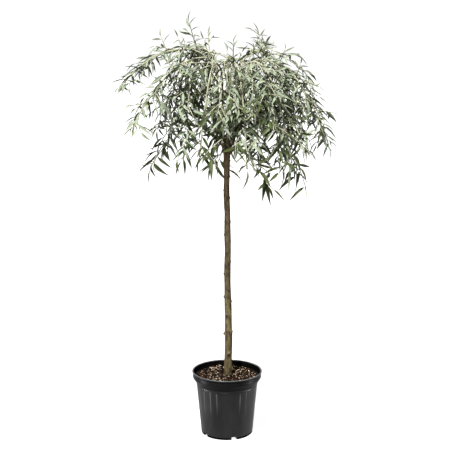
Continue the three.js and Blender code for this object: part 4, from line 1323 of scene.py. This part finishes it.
for spray in sprays:
    tint = spray_tint(spray.line)
    first = LEAFY_FROM[spray.rank]
    leafy_length = (1 - first) * length_of(spray.line)
    spacing = LEAF_SPACING[spray.rank] * between((1, END_SPACING), max(towards_ends(spray.line[-1])))
    count = max(LEAF_LEAST_COUNT, int(leafy_length / spacing))
    rows_turn = spray.draws.uniform(0, math.pi) if spray.rank in ("rising", "upright") else 0
    for k in range(count + 1):
        share = k / count
        root, ahead = along_points(spray.line, first + (1 - first) * share**LEAF_CROWDING)
        across = across_of(ahead, spray.outward)
        third = np.cross(ahead, across)
        turn = rows_turn + math.pi * k + spray.draws.normal(0, LEAF_ROW_SPREAD)
        away = across * math.cos(turn) + third * math.sin(turn)
        lean = between(LEAF_LEAN, share) + spray.draws.normal(0, LEAF_LEAN_SPREAD)
        lean = END_LEAF_LEAN if k == count else lean
        way = unit(ahead + away * lean - UP * LEAF_SAG)
        facing = spray.outward * LEAF_FACING["outward"] + UP * LEAF_FACING["up"]
        facing = facing + away * LEAF_FACING["away"] + spray.draws.normal(0, LEAF_TWIST, 3)
        length = LEAF_SCALE[spray.rank] * spray.draws.uniform(*LEAF_LENGTH)
        low, outer = towards_ends(root)
        length *= max(between((1, LOW_LEAF_SCALE), low), between((1, OUTER_LEAF_SCALE), outer))
        length *= END_LEAF_SCALE if k == count else 1
        young = k > count - YOUNG_LEAF_COUNT and spray.draws.uniform() < YOUNG_LEAF_SHARE
        young = young and root[2] > YOUNG_ABOVE
        if young:
            length *= YOUNG_LEAF_SCALE
        droop = spray.draws.uniform(*LEAF_DROOP)
        sickle = spray.draws.normal(0, LEAF_SICKLE)
        width = length * spray.draws.uniform(*LEAF_WIDTH)
        tip = root + way * length
        if spray.within(tip) and not trimmed_off(tip):
            leaf = (*root, *way, *facing, length, width, droop, sickle)
            leaves["young_leaves" if young else tint].append(leaf)


def leaf_meshes(rows):
    """Points and faces of many leaves: four points at each station, a point at stalk and tip."""
    rows = np.array(rows)
    root, way, facing = rows[:, 0:3], rows[:, 3:6], rows[:, 6:9]
    length, width, droop, sickle = (rows[:, i:i + 1] for i in range(9, 13))
    face = facing - way * (facing * way).sum(1, keepdims=True)
    face /= np.linalg.norm(face, axis=1, keepdims=True)
    across = np.cross(face, way)

    def rib(share):
        bend = share * share * length
        return root + way * share * length - face * droop * bend + across * sickle * bend

    points = [rib(0.0)]
    for share, outline in zip(LEAF_STATIONS, LEAF_OUTLINE):
        side = across * width / 2 * outline
        lift = face * width / 2 * outline * LEAF_FOLD
        points += [rib(share) + side + lift, rib(share) - side + lift]
        points += [rib(share) + face * LEAF_THICKNESS / 2, rib(share) - face * LEAF_THICKNESS / 2]
    points.append(rib(1.0))
    ring = 4
    tip = 1 + ring * len(LEAF_STATIONS)
    left, right, top, under = range(1, 1 + ring)
    upper = [(0, left, top), (0, top, right)]
    lower = [(0, under, left), (0, right, under)]
    for _ in LEAF_STATIONS[1:]:
        upper += [(left, left + ring, top + ring, top), (top, top + ring, right + ring, right)]
        lower += [(under, under + ring, left + ring, left), (right, right + ring, under + ring, under)]
        left, right, top, under = left + ring, right + ring, top + ring, under + ring
    upper += [(left, tip, top), (top, tip, right)]
    lower += [(under, tip, left), (right, tip, under)]
    stacked = np.stack(points, axis=1)
    faces = []
    slots = []
    for leaf in range(len(rows)):
        start = leaf * stacked.shape[1]
        faces += [[corner + start for corner in corners] for corners in upper + lower]
        slots += [0] * len(upper) + [1] * len(lower)
    return stacked.reshape(-1, 3), faces, slots


def paler(colour):
    """The down on the lower face of a leaf makes its colour paler."""
    return tuple(PALER_BENEATH * part + DOWN_BENEATH for part in colour)


def leaf_paint(name, dark, light):
    """One face of a leaf: mottled and downy, from a dark to a light colour."""
    paint = new_paint(name)
    mottle = pattern(paint, *LEAF_MOTTLE)
    set_colour(paint, colour_steps(paint, mottle, zip(LEAF_MOTTLE_PLACES, (dark, light))))
    set_finish(paint, LEAF_ROUGHNESS, LEAF_GLOSS)
    paint.shader.inputs["Sheen Weight"].default_value = LEAF_DOWN
    add_relief(paint, pattern(paint, *LEAF_GRAIN), *LEAF_RELIEF)
    return paint


for tint, (dark, light) in LEAF_TINTS.items():
    points, faces, slots = leaf_meshes(leaves[tint])
    upper_face = leaf_paint(tint, dark, light)
    lower_face = leaf_paint(f"{tint}_beneath", paler(dark), paler(light))
    piece = new_piece(tint, points, faces, [upper_face, lower_face], slots, sharp_angle=LEAF_SHARP_ANGLE)
    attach(piece, "root")
